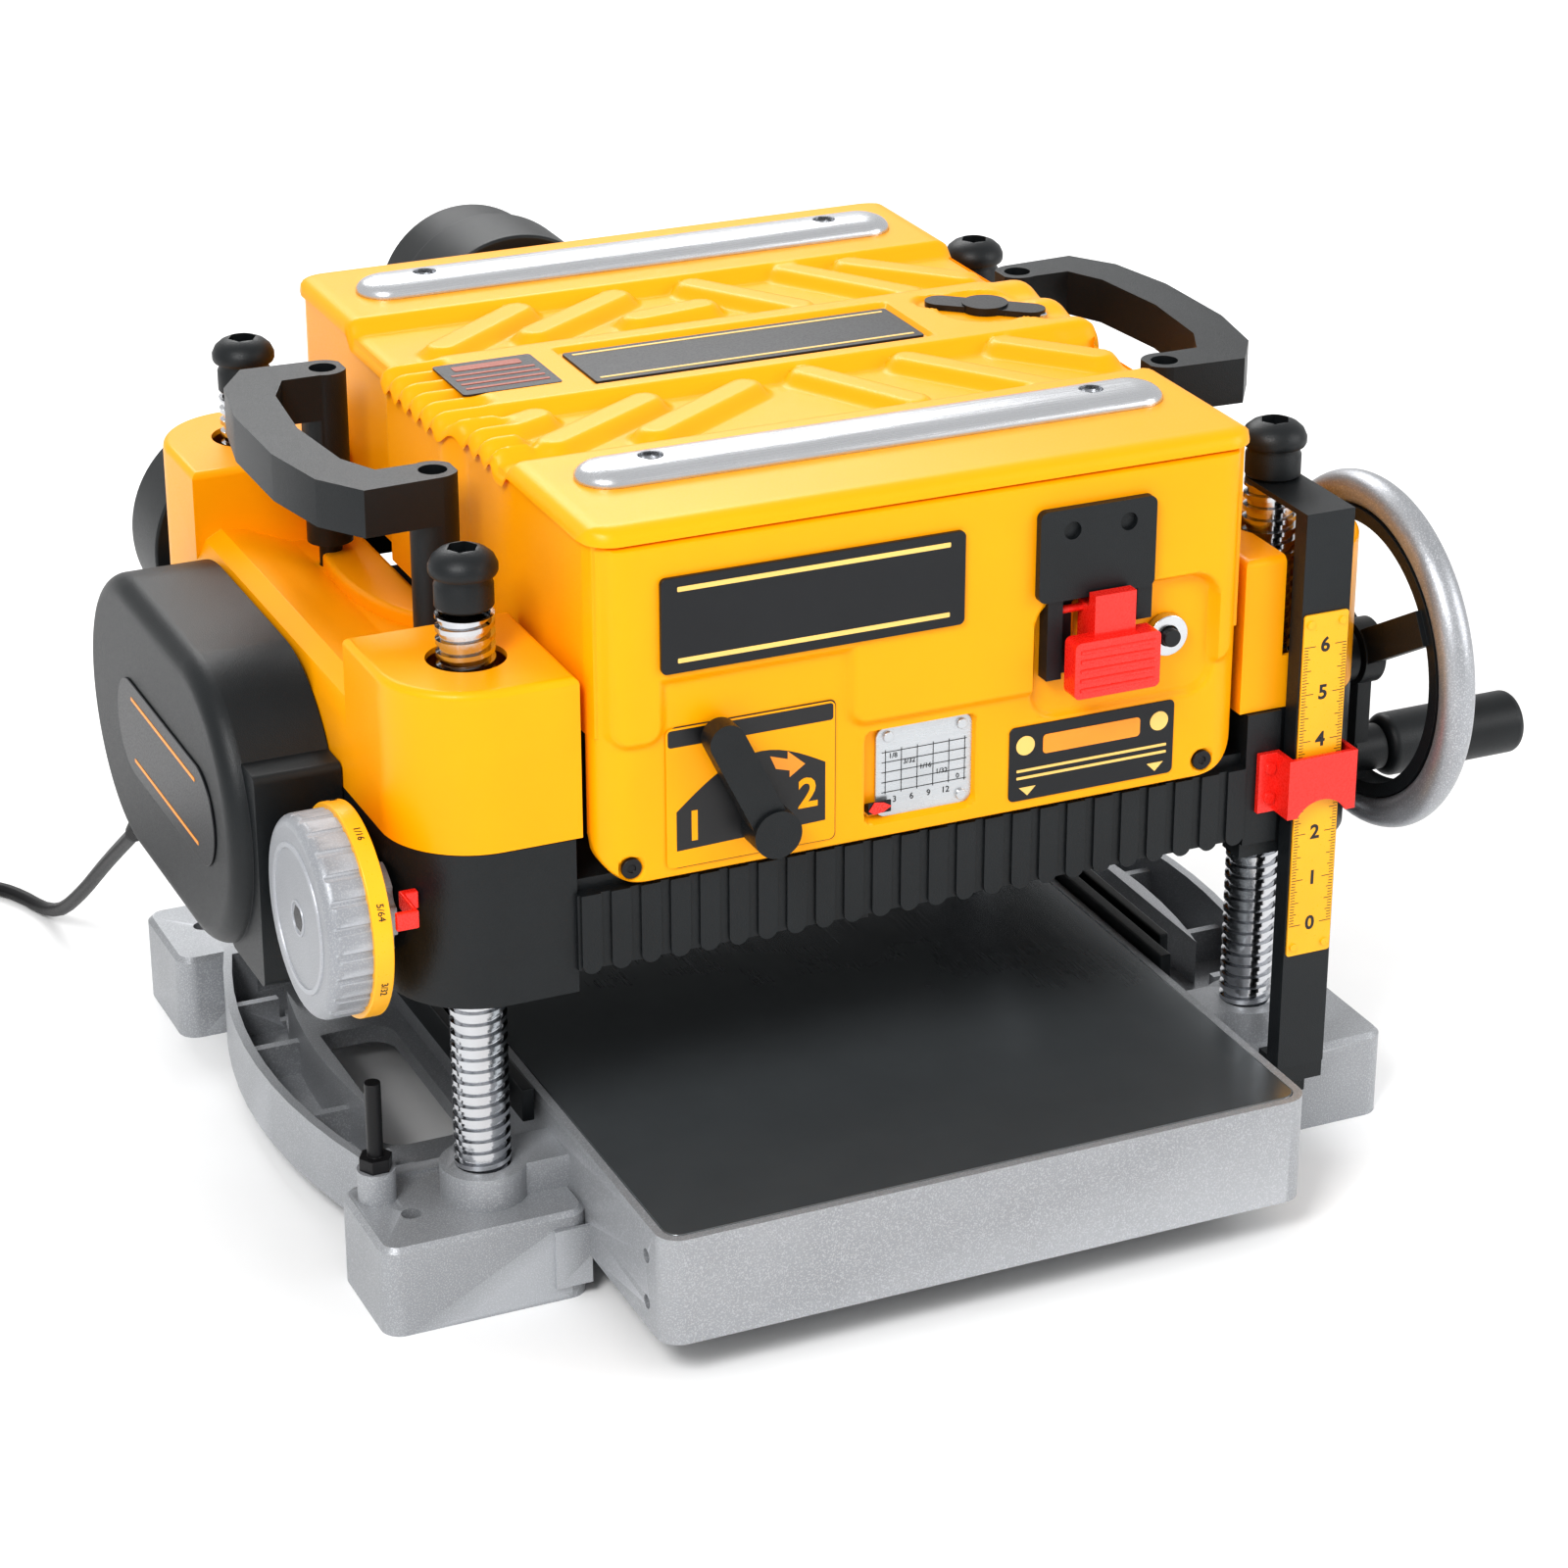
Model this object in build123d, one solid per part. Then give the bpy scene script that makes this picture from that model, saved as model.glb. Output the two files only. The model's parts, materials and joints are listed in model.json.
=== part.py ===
from build123d import *
import os
from math import cos, sin, radians, pi, tan, atan2, dist

# Portable 13-inch thickness planer. Millimetres, +Z up, infeed side towards -Y, crank on +X.
# Origin: on the bench, in the middle of the four base bolt holes. Modelled with 78.9 mm of opening.

os.makedirs("parts", exist_ok=True)

# ---- driving dimensions ----
INCH = 25.4
BED_X, BED_Y, BED_Z0, BED_Z1 = 173.2, 299.0, 23.0, 79.6   # half width, half depth, underside, rim
BED_WALL, BED_ROOF = 7.0, 8.0
PLATEN_Z, PLATEN_T, PLATEN_IN = 80.0, 6.0, 4.6            # top face, thickness, inset from the rim
FOOT_X, FOOT_Y0, FOOT_Y1, FOOT_Z = 277.6, 134.0, 202.8, 48.0
BOLT_X, BOLT_Y, BOLT_R = 253.0, 172.0, 5.0
POST_X, POST_Y, POST_R = 213.2, 166.0, 14.0               # threaded posts, thread major radius
POST_Z0, POST_SHOULDER = 34.0, 353.0
BOSS_R, BOSS_Z = 21.5, 65.6
CAP_R, CAP_Z = 16.3, 385.0
OPENING = 78.9                                            # cutting circle above the platen
HEAD_R, KNIFE_R, ROLLER_R = 27.0, 30.0, 19.0
HEAD_Z = PLATEN_Z + OPENING + KNIFE_R
ROLLER_Y, ROLLER_Z = 62.0, HEAD_Z - KNIFE_R - 1.5 + ROLLER_R
WORK_X = 165.1                                            # half of the 13 in cutting width
SIDE_IN, SIDE_Z0, SIDE_Z1 = 178.0, 171.0, 250.0           # carriage side boxes: inner wall, bottom, rim
FLOOR_Z, FLOOR_Y = 181.0, 120.0                           # floor of the post housings, where it starts
TOWER_R, TOWER_Z, TOWER_HOLE = 44.5, 331.0, 19.0
FRONT_Y = 219.0                                           # face of the front panel
RULER_Z0 = 134.0                                          # height of the ruler's zero mark
RULER_Y = 223.0
CRANK_Y, CRANK_Z, CRANK_R, GRIP_OFF = -166.0, 252.0, 93.0, 56.0
KNOB_Y, KNOB_Z, KNOB_R = -166.0, 214.0, 51.5
MOTOR_Y, MOTOR_Z, MOTOR_R = 70.0, 222.0, 42.5
PORT_X, PORT_Z, PORT_R = -42.0, 349.0, 50.8               # 4 in hose collar
FAN_X, FAN_Z = -192.0, 250.0
CORD_R = 4.0
CORD_EXIT, CORD_LEAN, RELIEF = (-298.0, 100.0, 152.4), (0.0, 0.82, -0.57), 40.0
CORD_DROP = [(-298, 132.8, 129.6), (-298, 190.2, 89.7), (-300.2, 248, 43.8), (-303, 306, 4.2),
             (-316, 346, 4.2), (-331, 362.1, 4.2)]
CORD_FLOOR = [(-331, 362.1, 4.2), (-346, 378.2, 4.2), (-384, 393.6, 4.2), (-420, 395, 4.2)]
COIL_X, COIL_Y, COIL_R0, COIL_R1, COIL_Z1 = -420.0, 339.75, 31.0, 59.3, 16.4
PLUG_X, PLUG_Y0, PLUG_Y1, PLUG_Z = -471.0, 258.0, 296.0, 12.2
DECK_Z = 222.0                                            # underside of the carriage deck
HANDLE_X, HANDLE_Y, HANDLE_Z = 197.0, 82.0, 392.0
PLATE_X, PLATE_Y, WRENCH = 90.0, 24.0, (138.0, 4.0)       # name plate and wrench on the top cover
LEVER_X, LEVER_Z = -87.0, 246.0
RESET_X, RESET_Z = 126.0, 305.0
PADDLE_AXIS = (-221.0, 328.0)                             # y and z of the pin that the switch paddle rocks on
RAIL_HOLE, RAIL_Y = 115.5, 155.0
STOP_X, STOP_Y = -263.0, -151.0                           # low stop screw under the turret
NUT_R, CHAIN_Z0, CHAIN_Z1 = 17.0, 172.0, 178.0            # lift nuts and the chain that joins them
CLIP_X0 = POST_X - 15                                     # the carriage ends here beside the ruler
SHELL_X = 174.5                                           # inner side of the two shrouds
PULLEY_X0, PULLEY_X1, SMALL_R, BIG_R = -306.0, -294.0, 12.0, 24.0
CORNERS = {"fl": (-1, -1), "fr": (1, -1), "rl": (-1, 1), "rr": (1, 1)}


# ---- helpers ----
def box(x0, x1, y0, y1, z0, z1):
    """Box between two corners, whichever way round they are given."""
    size = (abs(x1 - x0), abs(y1 - y0), abs(z1 - z0))
    return Pos((x0 + x1) / 2, (y0 + y1) / 2, (z0 + z1) / 2) * Box(*size)


def rbox(x0, x1, y0, y1, z0, z1, r):
    """Box whose four upright edges are rounded."""
    body = box(x0, x1, y0, y1, z0, z1)
    return fillet(body.edges().filter_by(Axis.Z), r)


def cyl(x, y, z0, z1, r):
    return Pos(x, y, (z0 + z1) / 2) * Cylinder(r, abs(z1 - z0))


def cyl_x(x0, x1, y, z, r):
    return Pos((x0 + x1) / 2, y, z) * Rot(0, 90, 0) * Cylinder(r, abs(x1 - x0))


def cyl_y(x, y0, y1, z, r):
    return Pos(x, (y0 + y1) / 2, z) * Rot(90, 0, 0) * Cylinder(r, abs(y1 - y0))


def prism_z(points, z0, z1):
    return Pos(0, 0, z0) * extrude(make_face(Polyline(*points, close=True)), z1 - z0)


def prism_x(points, x0, x1):
    """Prism along X from (y, z) points."""
    face = make_face(Polyline(*[(0, y, z) for y, z in points], close=True))
    return Pos(x0, 0, 0) * extrude(face, x1 - x0, dir=(1, 0, 0))


def prism_y(points, y0, y1):
    """Prism along Y from (x, z) points."""
    face = make_face(Polyline(*[(x, 0, z) for x, z in points], close=True))
    return Pos(0, y0, 0) * extrude(face, y1 - y0, dir=(0, 1, 0))


def slot_x(x0, x1, ya, yb, z, r):
    """Stadium along Y, of radius r round (ya, z) and (yb, z), from x0 to x1."""
    return cyl_x(x0, x1, ya, z, r) + cyl_x(x0, x1, yb, z, r) + box(x0, x1, ya, yb, z - r, z + r)


def beyond(sx, x):
    """Everything on one side of the machine that is further out than x."""
    return box(sx * x, sx * 400, -400, 400, 0, 500)


def save(name, shape):
    solids = shape.solids()
    print(name, len(solids), [round(v, 1) for v in shape.bounding_box().size])
    export_step(shape if len(solids) > 1 else solids[0], f"parts/{name}.step")


def save_group(name, shapes):
    """Separate solids of one kind in one file."""
    save(name, Compound(children=[solid for shape in shapes for solid in shape.solids()]))


# ---- base: one casting with a bed, four feet and two curved side beams ----
def base_casting():
    body = rbox(-BED_X, BED_X, -BED_Y, BED_Y, BED_Z0, BED_Z1, 12)
    inset = PLATEN_IN - 0.2
    body -= rbox(-BED_X + inset, BED_X - inset, -BED_Y + inset, BED_Y - inset, PLATEN_Z - PLATEN_T, 99, 8)
    inner = box(-BED_X + BED_WALL, BED_X - BED_WALL, -BED_Y + BED_WALL, BED_Y - BED_WALL,
                0, PLATEN_Z - PLATEN_T - BED_ROOF)
    for y in (-150, 0, 150):
        inner -= box(-BED_X, BED_X, y - 3, y + 3, 30, 90)
    for x in (-60, 60):
        inner -= box(x - 3, x + 3, -BED_Y, BED_Y, 30, 90)
    body -= inner
    for sx in (-1, 1):
        body += side_beam(sx)
        for sy in (-1, 1):
            body += foot(sx, sy)
    for sx, sy in CORNERS.values():
        body -= cyl(sx * POST_X, sy * POST_Y, POST_Z0, 99, POST_R)
        body -= cyl(sx * BOLT_X, sy * BOLT_Y, -1, 99, BOLT_R)
    for sx in (-1, 1):
        for sy in (-1, 1):
            body -= cyl_x(sx * (BED_X - 20), sx * (BED_X + 1), sy * (BED_Y - 22), 62, 3.6)
            body -= cyl_x(sx * (BED_X - 20), sx * (BED_X + 1), sy * (BED_Y - 22), 37, 3.6)
    body -= cyl(STOP_X, STOP_Y, 40, 99, 4.0)
    return body


def foot(sx, sy):
    """Corner foot: hollow block, bolt boss, post boss and the web from the boss to the bed."""
    block = rbox(sx * (BED_X - 1), sx * FOOT_X, sy * FOOT_Y0, sy * FOOT_Y1, 0, FOOT_Z, 10)
    block = chamfer(block.edges().group_by(Axis.Z)[-1], 2.5)
    pocket = box(sx * (BED_X + 7), sx * (FOOT_X - 7), sy * (FOOT_Y0 + 7), sy * (FOOT_Y1 - 7), -1, FOOT_Z - 8)
    pocket -= cyl(sx * BOLT_X, sy * BOLT_Y, -2, 60, 11)
    pocket -= cyl(sx * POST_X, sy * POST_Y, 20, 60, BOSS_R)
    part = block - pocket
    part += cyl(sx * POST_X, sy * POST_Y, FOOT_Z - 4, BOSS_Z, BOSS_R)
    part += box(sx * (BED_X - 1), sx * POST_X, sy * (POST_Y - 17), sy * (POST_Y + 12), FOOT_Z - 4, BOSS_Z)
    part += box(sx * (BED_X - 1), sx * (BED_X + 18), sy * FOOT_Y1, sy * (FOOT_Y1 + 2.2), 8, 40)
    if (sx, sy) == (-1, -1):
        part += cyl(STOP_X, STOP_Y, FOOT_Z - 4, 65, 9.5)
    return part


def arc_points(sx, inset, y_lim):
    """Points of the side beam's curve, bowed outwards, from -y_lim to y_lim."""
    points = []
    for i in range(13):
        y = -y_lim + 2 * y_lim * i / 12
        points.append((sx * (276.5 - inset - 22.0 * (y / 128.0) ** 2), y))
    return points


def side_beam(sx):
    """Curved carrying beam: U section with ribs, a floor web and a hand opening beside the bed."""
    y_lim = 137.0
    outer = arc_points(sx, 0, y_lim)
    plan = outer + [(sx * (BED_X - 1), y_lim), (sx * (BED_X - 1), -y_lim)]
    body = prism_z(plan, 14, 50)
    channel = arc_points(sx, 5, 128) + arc_points(sx, 33, 128)[::-1]
    cut = prism_z(channel, 19, 60)
    for y in (-92, -40, 40, 92):
        cut -= box(sx * 200, sx * 280, y - 2.5, y + 2.5, 0, 38)
    body -= cut
    body -= box(sx * BED_X, sx * 236, -129, 129, 24, 60)
    body -= rbox(sx * 183, sx * 231, -66, 66, 0, 60, 14)
    return body


platen = rbox(-BED_X + PLATEN_IN, BED_X - PLATEN_IN, -BED_Y + PLATEN_IN, BED_Y - PLATEN_IN,
              PLATEN_Z - PLATEN_T, PLATEN_Z, 8)
save("base_casting", base_casting())
save("platen", platen)

caps = []
for key, (sx, sy) in CORNERS.items():
    x, y = sx * POST_X, sy * POST_Y
    post = cyl(x, y, POST_Z0, POST_SHOULDER, POST_R) + cyl(x, y, POST_SHOULDER, 370, 8)
    save(f"post_{key}", chamfer(post.edges().group_by(Axis.Z)[-1], 1))
    low = POST_SHOULDER + (3 if key == "fr" else 0)
    head = cyl(x, y, 364, CAP_Z, CAP_R)
    head = fillet(head.edges().group_by(Axis.Z)[-1], 8)
    head += cyl(x, y, low, 364, POST_R)
    head -= cyl(x, y, low - 1, 370, 8)
    head -= Pos(x, y, CAP_Z - 8) * extrude(RegularPolygon(6.5, 6), 9)
    caps.append(head)
save_group("post_caps", caps)

stop = cyl(STOP_X, STOP_Y, 42, 112, 4.0)
stop += Pos(STOP_X, STOP_Y, 65) * extrude(RegularPolygon(8.5, 6), 7)
save("stop_screw", stop)

bars = []
for sx in (-1, 1):
    bar = box(sx * 176, sx * 182.5, -140, 142, 66, 84)
    bar += box(sx * 187.5, sx * 193, -118, 142, 66, 84)
    bar += box(sx * 176, sx * 193, -112, 142, 66, 70)
    bar -= box(sx * 170, sx * 200, -POST_Y - 20, -POST_Y + 18, 60, 66)
    for y in (-100, 120):
        bar += box(sx * (BED_X + 0.3), sx * 193, y - 8, y + 8, 66, 70)
    bars.append(bar)
save_group("side_bars", bars)


# ---- ruler on its bracket, fixed to the front-right post and foot ----
def ruler_bracket():
    half, back = 13.5, -RULER_Y + 11
    strip = box(POST_X - half, POST_X + half, -RULER_Y, -RULER_Y + 3, 52, 356)
    for s in (-1, 1):
        strip += box(POST_X + s * half, POST_X + s * (half - 3), -RULER_Y, back, 52, 356)
    strip += box(POST_X - half, POST_X + half, -RULER_Y, -POST_Y, 353, 356)
    strip += cyl(POST_X, -POST_Y, 353, 356, 13.5)
    strip -= cyl(POST_X, -POST_Y, 350, 360, 8.2)
    strip += box(POST_X - 20, POST_X + 14, -FOOT_Y1 - 3.2, -FOOT_Y1 - 0.2, 26, 46)
    strip += box(POST_X - 13, POST_X + 13, -RULER_Y, -FOOT_Y1 - 0.2, 43, 55)
    for x in (POST_X - 12, POST_X + 6):
        strip += cyl_y(x, -FOOT_Y1 - 6, -FOOT_Y1 - 3, 35, 4.5)
    return strip


save("ruler_bracket", ruler_bracket())
scale = box(POST_X - 12.5, POST_X + 12.5, -RULER_Y - 1.2, -RULER_Y, RULER_Z0 - 17, RULER_Z0 + 6 * INCH + 17)
scale = fillet(scale.edges().filter_by(Axis.Y), 1.5)
for s in (-1, 1):
    for z in (RULER_Z0 - 12, RULER_Z0 + 6 * INCH + 12):
        scale += cyl_y(POST_X + s * 9, -RULER_Y - 2.2, -RULER_Y - 1.2, z, 2)
save("ruler_scale", scale)


# ---- carriage frame ----
def tower(sx, sy, r, z0, z1, x_in):
    """Housing round one post: round outside, square towards the middle of the carriage."""
    x, y = sx * POST_X, sy * POST_Y
    body = cyl(x, y, z0, z1, r)
    body += box(sx * x_in, x, sy * FLOOR_Y, y + sy * r, z0, z1)
    body += box(x, x + sx * r, sy * FLOOR_Y, y, z0, z1)
    return body & beyond(sx, x_in)


def side_box(sx):
    """Walls along one side of the carriage, with a floor only in the two post housings."""
    edge = POST_X + TOWER_R
    side = box(sx * SIDE_IN, sx * edge, -FLOOR_Y, FLOOR_Y, SIDE_Z0, SIDE_Z1)
    hole = box(sx * (SIDE_IN + 6), sx * (edge - 5), -FLOOR_Y - 1, FLOOR_Y + 1, 100, 300)
    for sy in (-1, 1):
        side += tower(sx, sy, TOWER_R, SIDE_Z0, SIDE_Z1, SIDE_IN)
        hole += tower(sx, sy, TOWER_R - 5, 100, FLOOR_Z, SIDE_IN + 6)
        hole += tower(sx, sy, TOWER_R - 5, FLOOR_Z + 6, 300, SIDE_IN + 6)
        hole += cyl(sx * POST_X, sy * POST_Y, 100, 300, NUT_R + 0.05)
    return side - hole


def carriage_frame():
    body = side_box(-1) + side_box(1)
    for sy in (-1, 1):
        wall = box(-SIDE_IN - 1, SIDE_IN + 1, sy * 207, sy * 213, 183, DECK_Z)
        for i in range(24):
            x = -172.5 + 15 * i
            wall += cyl_y(x, sy * 205.5, sy * 214.5, 186, 5)
            wall += box(x - 5, x + 5, sy * 213, sy * 214.5, 186, DECK_Z)
        body += wall
    deck = box(-SIDE_IN - 1, SIDE_IN + 1, -207.5, 207.5, DECK_Z, DECK_Z + 6)
    body += deck - box(-150, 150, 35, 75, 200, 240) - box(-34, -26, -206, -200, 200, 240)
    body += box(SIDE_IN, CLIP_X0 - 1, -213, -205, SIDE_Z0 + 8, SIDE_Z1)
    for sx in (-1, 1):
        body += cyl_x(sx * SIDE_IN, sx * (SIDE_IN + 8), 0, HEAD_Z, 19)
        body -= cyl_x(sx * (SIDE_IN - 2), sx * (SIDE_IN + 10), 0, HEAD_Z, 12.05)
        for y in (-ROLLER_Y, ROLLER_Y):
            body += box(sx * SIDE_IN, sx * (SIDE_IN + 6), y - 15, y + 15, ROLLER_Z - 14, 190)
            body -= cyl_x(sx * (SIDE_IN - 2), sx * (SIDE_IN + 10), y, ROLLER_Z, 8.05)
        for sy in (-1, 1):
            body -= box(sx * 170, sx * 190, sy * (POST_Y + 20), sy * (POST_Y + 28), 160, CHAIN_Z1 + 2)
    body -= cyl_x(-280, -250, 0, HEAD_Z, 16)
    body -= cyl_x(-280, -250, MOTOR_Y, MOTOR_Z, MOTOR_R + 2)
    body += cyl_x(242, 262, CRANK_Y, CRANK_Z, 15) & box(240, 262, -200, -130, 200, 300)
    body -= cyl_x(230, 270, CRANK_Y, CRANK_Z, 7.05)
    body -= cyl_x(-270, -240, KNOB_Y, KNOB_Z, 6.05)
    return body


save("carriage_frame", carriage_frame())


def shroud(sx):
    """Moulded side cover: a tower over each post and a lower saddle between them."""
    edge, wall, z0 = POST_X + TOWER_R, 3.0, SIDE_Z1 + 0.3
    outline = [(SHELL_X, z0), (edge, z0), (edge, 284), (edge - 5, 294), (edge - 14, 299),
               (edge - 26, 297), (206, 286), (SHELL_X, 286)]
    inner = [(SHELL_X + wall, z0 - 1), (edge - wall, z0 - 1), (edge - wall, 283), (edge - 8, 291),
             (edge - 15, 295.5), (edge - 26, 293.5), (207, 283), (SHELL_X + wall, 283)]
    body = prism_y([(sx * x, z) for x, z in outline], -128, 128)
    hollow = prism_y([(sx * x, z) for x, z in inner], -130, 130)
    for sy in (-1, 1):
        x, y = sx * POST_X, sy * POST_Y
        outer = tower(sx, sy, TOWER_R, z0, TOWER_Z, SHELL_X)
        body += fillet(outer.edges().group_by(Axis.Z)[-1], 4)
        inside = tower(sx, sy, TOWER_R - wall, z0 - 1, TOWER_Z - wall, SHELL_X + wall)
        hollow += inside - box(sx * 100, sx * 300, 0, sy * (FLOOR_Y + wall), 270, 400)
        hollow += cyl(x, y, 300, 400, TOWER_HOLE)
    body -= hollow
    if sx > 0:
        body -= box(POST_X - 16, POST_X + 16, -250, -POST_Y, 278, 400)
        body -= cyl_x(236, 270, CRANK_Y, CRANK_Z, 16)
        body -= box(236, 270, CRANK_Y - 16, CRANK_Y + 16, 240, CRANK_Z)
    else:
        body -= cyl_x(-270, -240, MOTOR_Y, MOTOR_Z, MOTOR_R + 2)
    for y in (-HANDLE_Y, HANDLE_Y):
        body -= cyl(sx * HANDLE_X, y, 270, 300, 6.2)
    return body


save("shroud_left", shroud(-1))
save("shroud_right", shroud(1))


def front_panel():
    body = rbox_y(-170, 170, -FRONT_Y, -213.2, 225, 394, 22, bottom=True)
    body += rbox_y(-161, 161, -FRONT_Y - 3.5, -FRONT_Y, 327, 391, 12)
    body -= rbox_y(56, 150, -FRONT_Y - 9, -FRONT_Y + 2.5, 276, 333, 14)
    body -= box(56, 80, -FRONT_Y - 9, -FRONT_Y + 2.5, 310, 333)
    for x in (-154, 149):
        body -= cyl_y(x, -240, -FRONT_Y + 2, 234, 5.5)
        body -= cyl_y(x, -240, -200, 234, 3)
    body -= cyl_y(LEVER_X, -240, -200, LEVER_Z, 7.05)
    body -= cyl_y(RESET_X, -240, -200, RESET_Z, 9)
    body -= rbox_y(-34, 24, -240, -200, 234, 281, 5)
    body -= rbox_y(76, 102, -240, -200, 303, 333, 2)
    return body


def rbox_y(x0, x1, y0, y1, z0, z1, r, bottom=False):
    """Box with its four Y edges rounded, or only the lower two."""
    body = box(x0, x1, y0, y1, z0, z1)
    edges = body.edges().filter_by(Axis.Y)
    if bottom:
        edges = edges.group_by(Axis.Z)[0]
    return fillet(edges, r)


save("front_panel", front_panel())

badge = rbox_y(-140, 14, -FRONT_Y - 6, -FRONT_Y - 3.5, 331, 378, 3)
label = rbox_y(-134, -50, -FRONT_Y - 0.8, -FRONT_Y, 230, 302, 3) - cyl_y(LEVER_X, -240, -200, LEVER_Z, 8)
notice = rbox_y(42, 132, -FRONT_Y - 0.8, -FRONT_Y, 231, 270, 3)

gauge = rbox_y(-27, 23.8, -215.5, -214, 234.2, 280.8, 5.5)
for x, z in ((18, 276), (-21, 276), (18, 239)):
    gauge += cyl_y(x, -217, -215.5, z, 2.6)
save("gauge_scale", gauge)
needle = box(-32, -20, -218.4, -217.2, 238, 244) + box(-32, -29, -218.4, -201.5, 238, 242)
needle += box(-32, -29, -204.6, -201.5, 180, 242) + box(-36, -25, -204.6, -201.5, 176.5, 180.5)
save("gauge_pointer", needle)

screws = None
for x in (-154, 149):
    s = cyl_y(x, -FRONT_Y - 0.5, -FRONT_Y + 1.9, 234, 5) + cyl_y(x, -FRONT_Y + 1, -212, 234, 2.8)
    s -= Pos(x, -FRONT_Y - 0.5, 234) * Rot(90, 0, 0) * Cylinder(2, 2)
    screws = s if screws is None else screws + s
save("panel_screws", screws)

lever = cyl_y(LEVER_X, -FRONT_Y - 18, -FRONT_Y - 1.2, LEVER_Z, 12)
arm = box(LEVER_X - 9, LEVER_X + 9, -FRONT_Y - 16, -FRONT_Y - 5, LEVER_Z, LEVER_Z + 56)
arm += cyl_y(LEVER_X, -FRONT_Y - 16, -FRONT_Y - 5, LEVER_Z + 56, 9)
lever += Pos(LEVER_X, 0, LEVER_Z) * Rot(0, -26, 0) * Pos(-LEVER_X, 0, -LEVER_Z) * arm
lever += cyl_y(LEVER_X, -FRONT_Y - 2, -200, LEVER_Z, 7)
save("speed_lever", lever)

# ---- switch, breaker ----
bezel = rbox_y(52, 114, -FRONT_Y - 8, -FRONT_Y - 3.7, 335, 381, 4)
bezel += box(58, 66, -FRONT_Y - 6, -FRONT_Y + 2.3, 294, 332.5)
bezel += box(106, 114, -FRONT_Y - 6, -FRONT_Y + 2.3, 318, 332.5)
bezel += box(58, 114, -FRONT_Y - 6, -FRONT_Y - 3.7, 331, 336) - box(66, 106, -300, -200, 300, 334)
bezel += box(66, 108, -FRONT_Y + 0.5, -FRONT_Y + 2.3, 294, 332.5) - rbox_y(74, 104, -240, -200, 300, 331, 2)
for x in (69, 99):
    bezel -= cyl_y(x, -FRONT_Y - 9, -FRONT_Y - 5.5, 370, 4.5)
save("switch_bezel", bezel - cyl_x(59, 113, *PADDLE_AXIS, 2.05))
paddle = rbox_y(66, 112, -FRONT_Y - 20, -FRONT_Y - 9, 288, 317, 3)
paddle += box(78, 100, -FRONT_Y - 16, -FRONT_Y - 9.5, 310, 338)
paddle += box(78, 100, -FRONT_Y - 10, -FRONT_Y + 1.5, 312, 331)
save("switch_paddle", paddle + cyl_x(60, 112, *PADDLE_AXIS, 2))
ring = cyl_y(RESET_X, -FRONT_Y - 3, -FRONT_Y + 2.4, RESET_Z, 10.5) - cyl_y(RESET_X, -240, -200, RESET_Z, 5)
save("breaker_collar", ring)
save("reset_button", cyl_y(RESET_X, -FRONT_Y - 7, -FRONT_Y + 2.3, RESET_Z, 4.6))


# ---- top cover, rails, handles, wrench ----
def top_cover():
    x, y0, y1, wall = 173.0, -213.0, 205.0, 3.0
    profile = [(y0, 300), (y0, 395), (y0 + 14, 403.5), (y0 + 96, 403.5), (y0 + 106, 397), (y1 - 98, 397),
               (y1 - 88, 403.5), (y1 - 18, 403.5), (y1, 392), (y1, 300)]
    inner = [(y0 + wall, 299), (y0 + wall, 393.5), (y0 + 15, 400), (y0 + 94, 400), (y0 + 104, 394),
             (y1 - 96, 394), (y1 - 86, 400), (y1 - 19, 400), (y1 - wall, 390), (y1 - wall, 299)]
    body = prism_x(profile, -x, x)
    ridge = [(-48, 396), (-40, 403), (40, 403), (48, 396)]
    body += prism_x(ridge, -172, 172)
    body -= prism_x(inner, -x + wall, x - wall)
    for sx in (-1, 1):
        body -= prism_y([(sx * 166, 410), (sx * 174, 410), (sx * 174, 398)], -300, 300)
        for i in range(4):
            rib = rbox(-6, 6, -26, 26, 396, 401, 5)
            for sy in (-1, 1):
                place = Pos(sx * (34 + 32 * i), sy * 78, 0) * Rot(0, 0, sx * sy * 50)
                body += place * rib
        for sy in (-1, 1):
            body -= cyl(sx * RAIL_HOLE, sy * RAIL_Y, 380, 420, 3.2)
    body -= box(-PLATE_X - 2, PLATE_X + 2, -PLATE_Y - 2, PLATE_Y + 2, 401.0, 410)
    body -= cyl(*WRENCH, 401.0, 410, 25) + wrench_slot(401.0, 410, 10)
    return body


def wrench_slot(z0, z1, r):
    """Stadium lying across the recess where the blade wrench is kept."""
    return Pos(*WRENCH, 0) * Rot(0, 0, -40) * slot_z(-24, 24, 0, z0, z1, r)


def slot_z(x0, x1, y, z0, z1, r):
    """Stadium along X, between centres x0 and x1."""
    return cyl(x0, y, z0, z1, r) + cyl(x1, y, z0, z1, r) + box(x0, x1, y - r, y + r, z0, z1)


save("top_cover", top_cover())
for name, sy in (("front", -1), ("rear", 1)):
    rail = slot_z(-136, 136, sy * RAIL_Y, 403.6, 411.5, 17)
    rail = fillet(rail.edges().group_by(Axis.Z)[-1], 4.5)
    for sx in (-1, 1):
        rail -= cyl(sx * RAIL_HOLE, sy * RAIL_Y, 400, 420, 4.2)
        rail -= cyl(sx * RAIL_HOLE, sy * RAIL_Y, 408, 420, 6.0)
    save(f"top_rail_{name}", rail)


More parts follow.
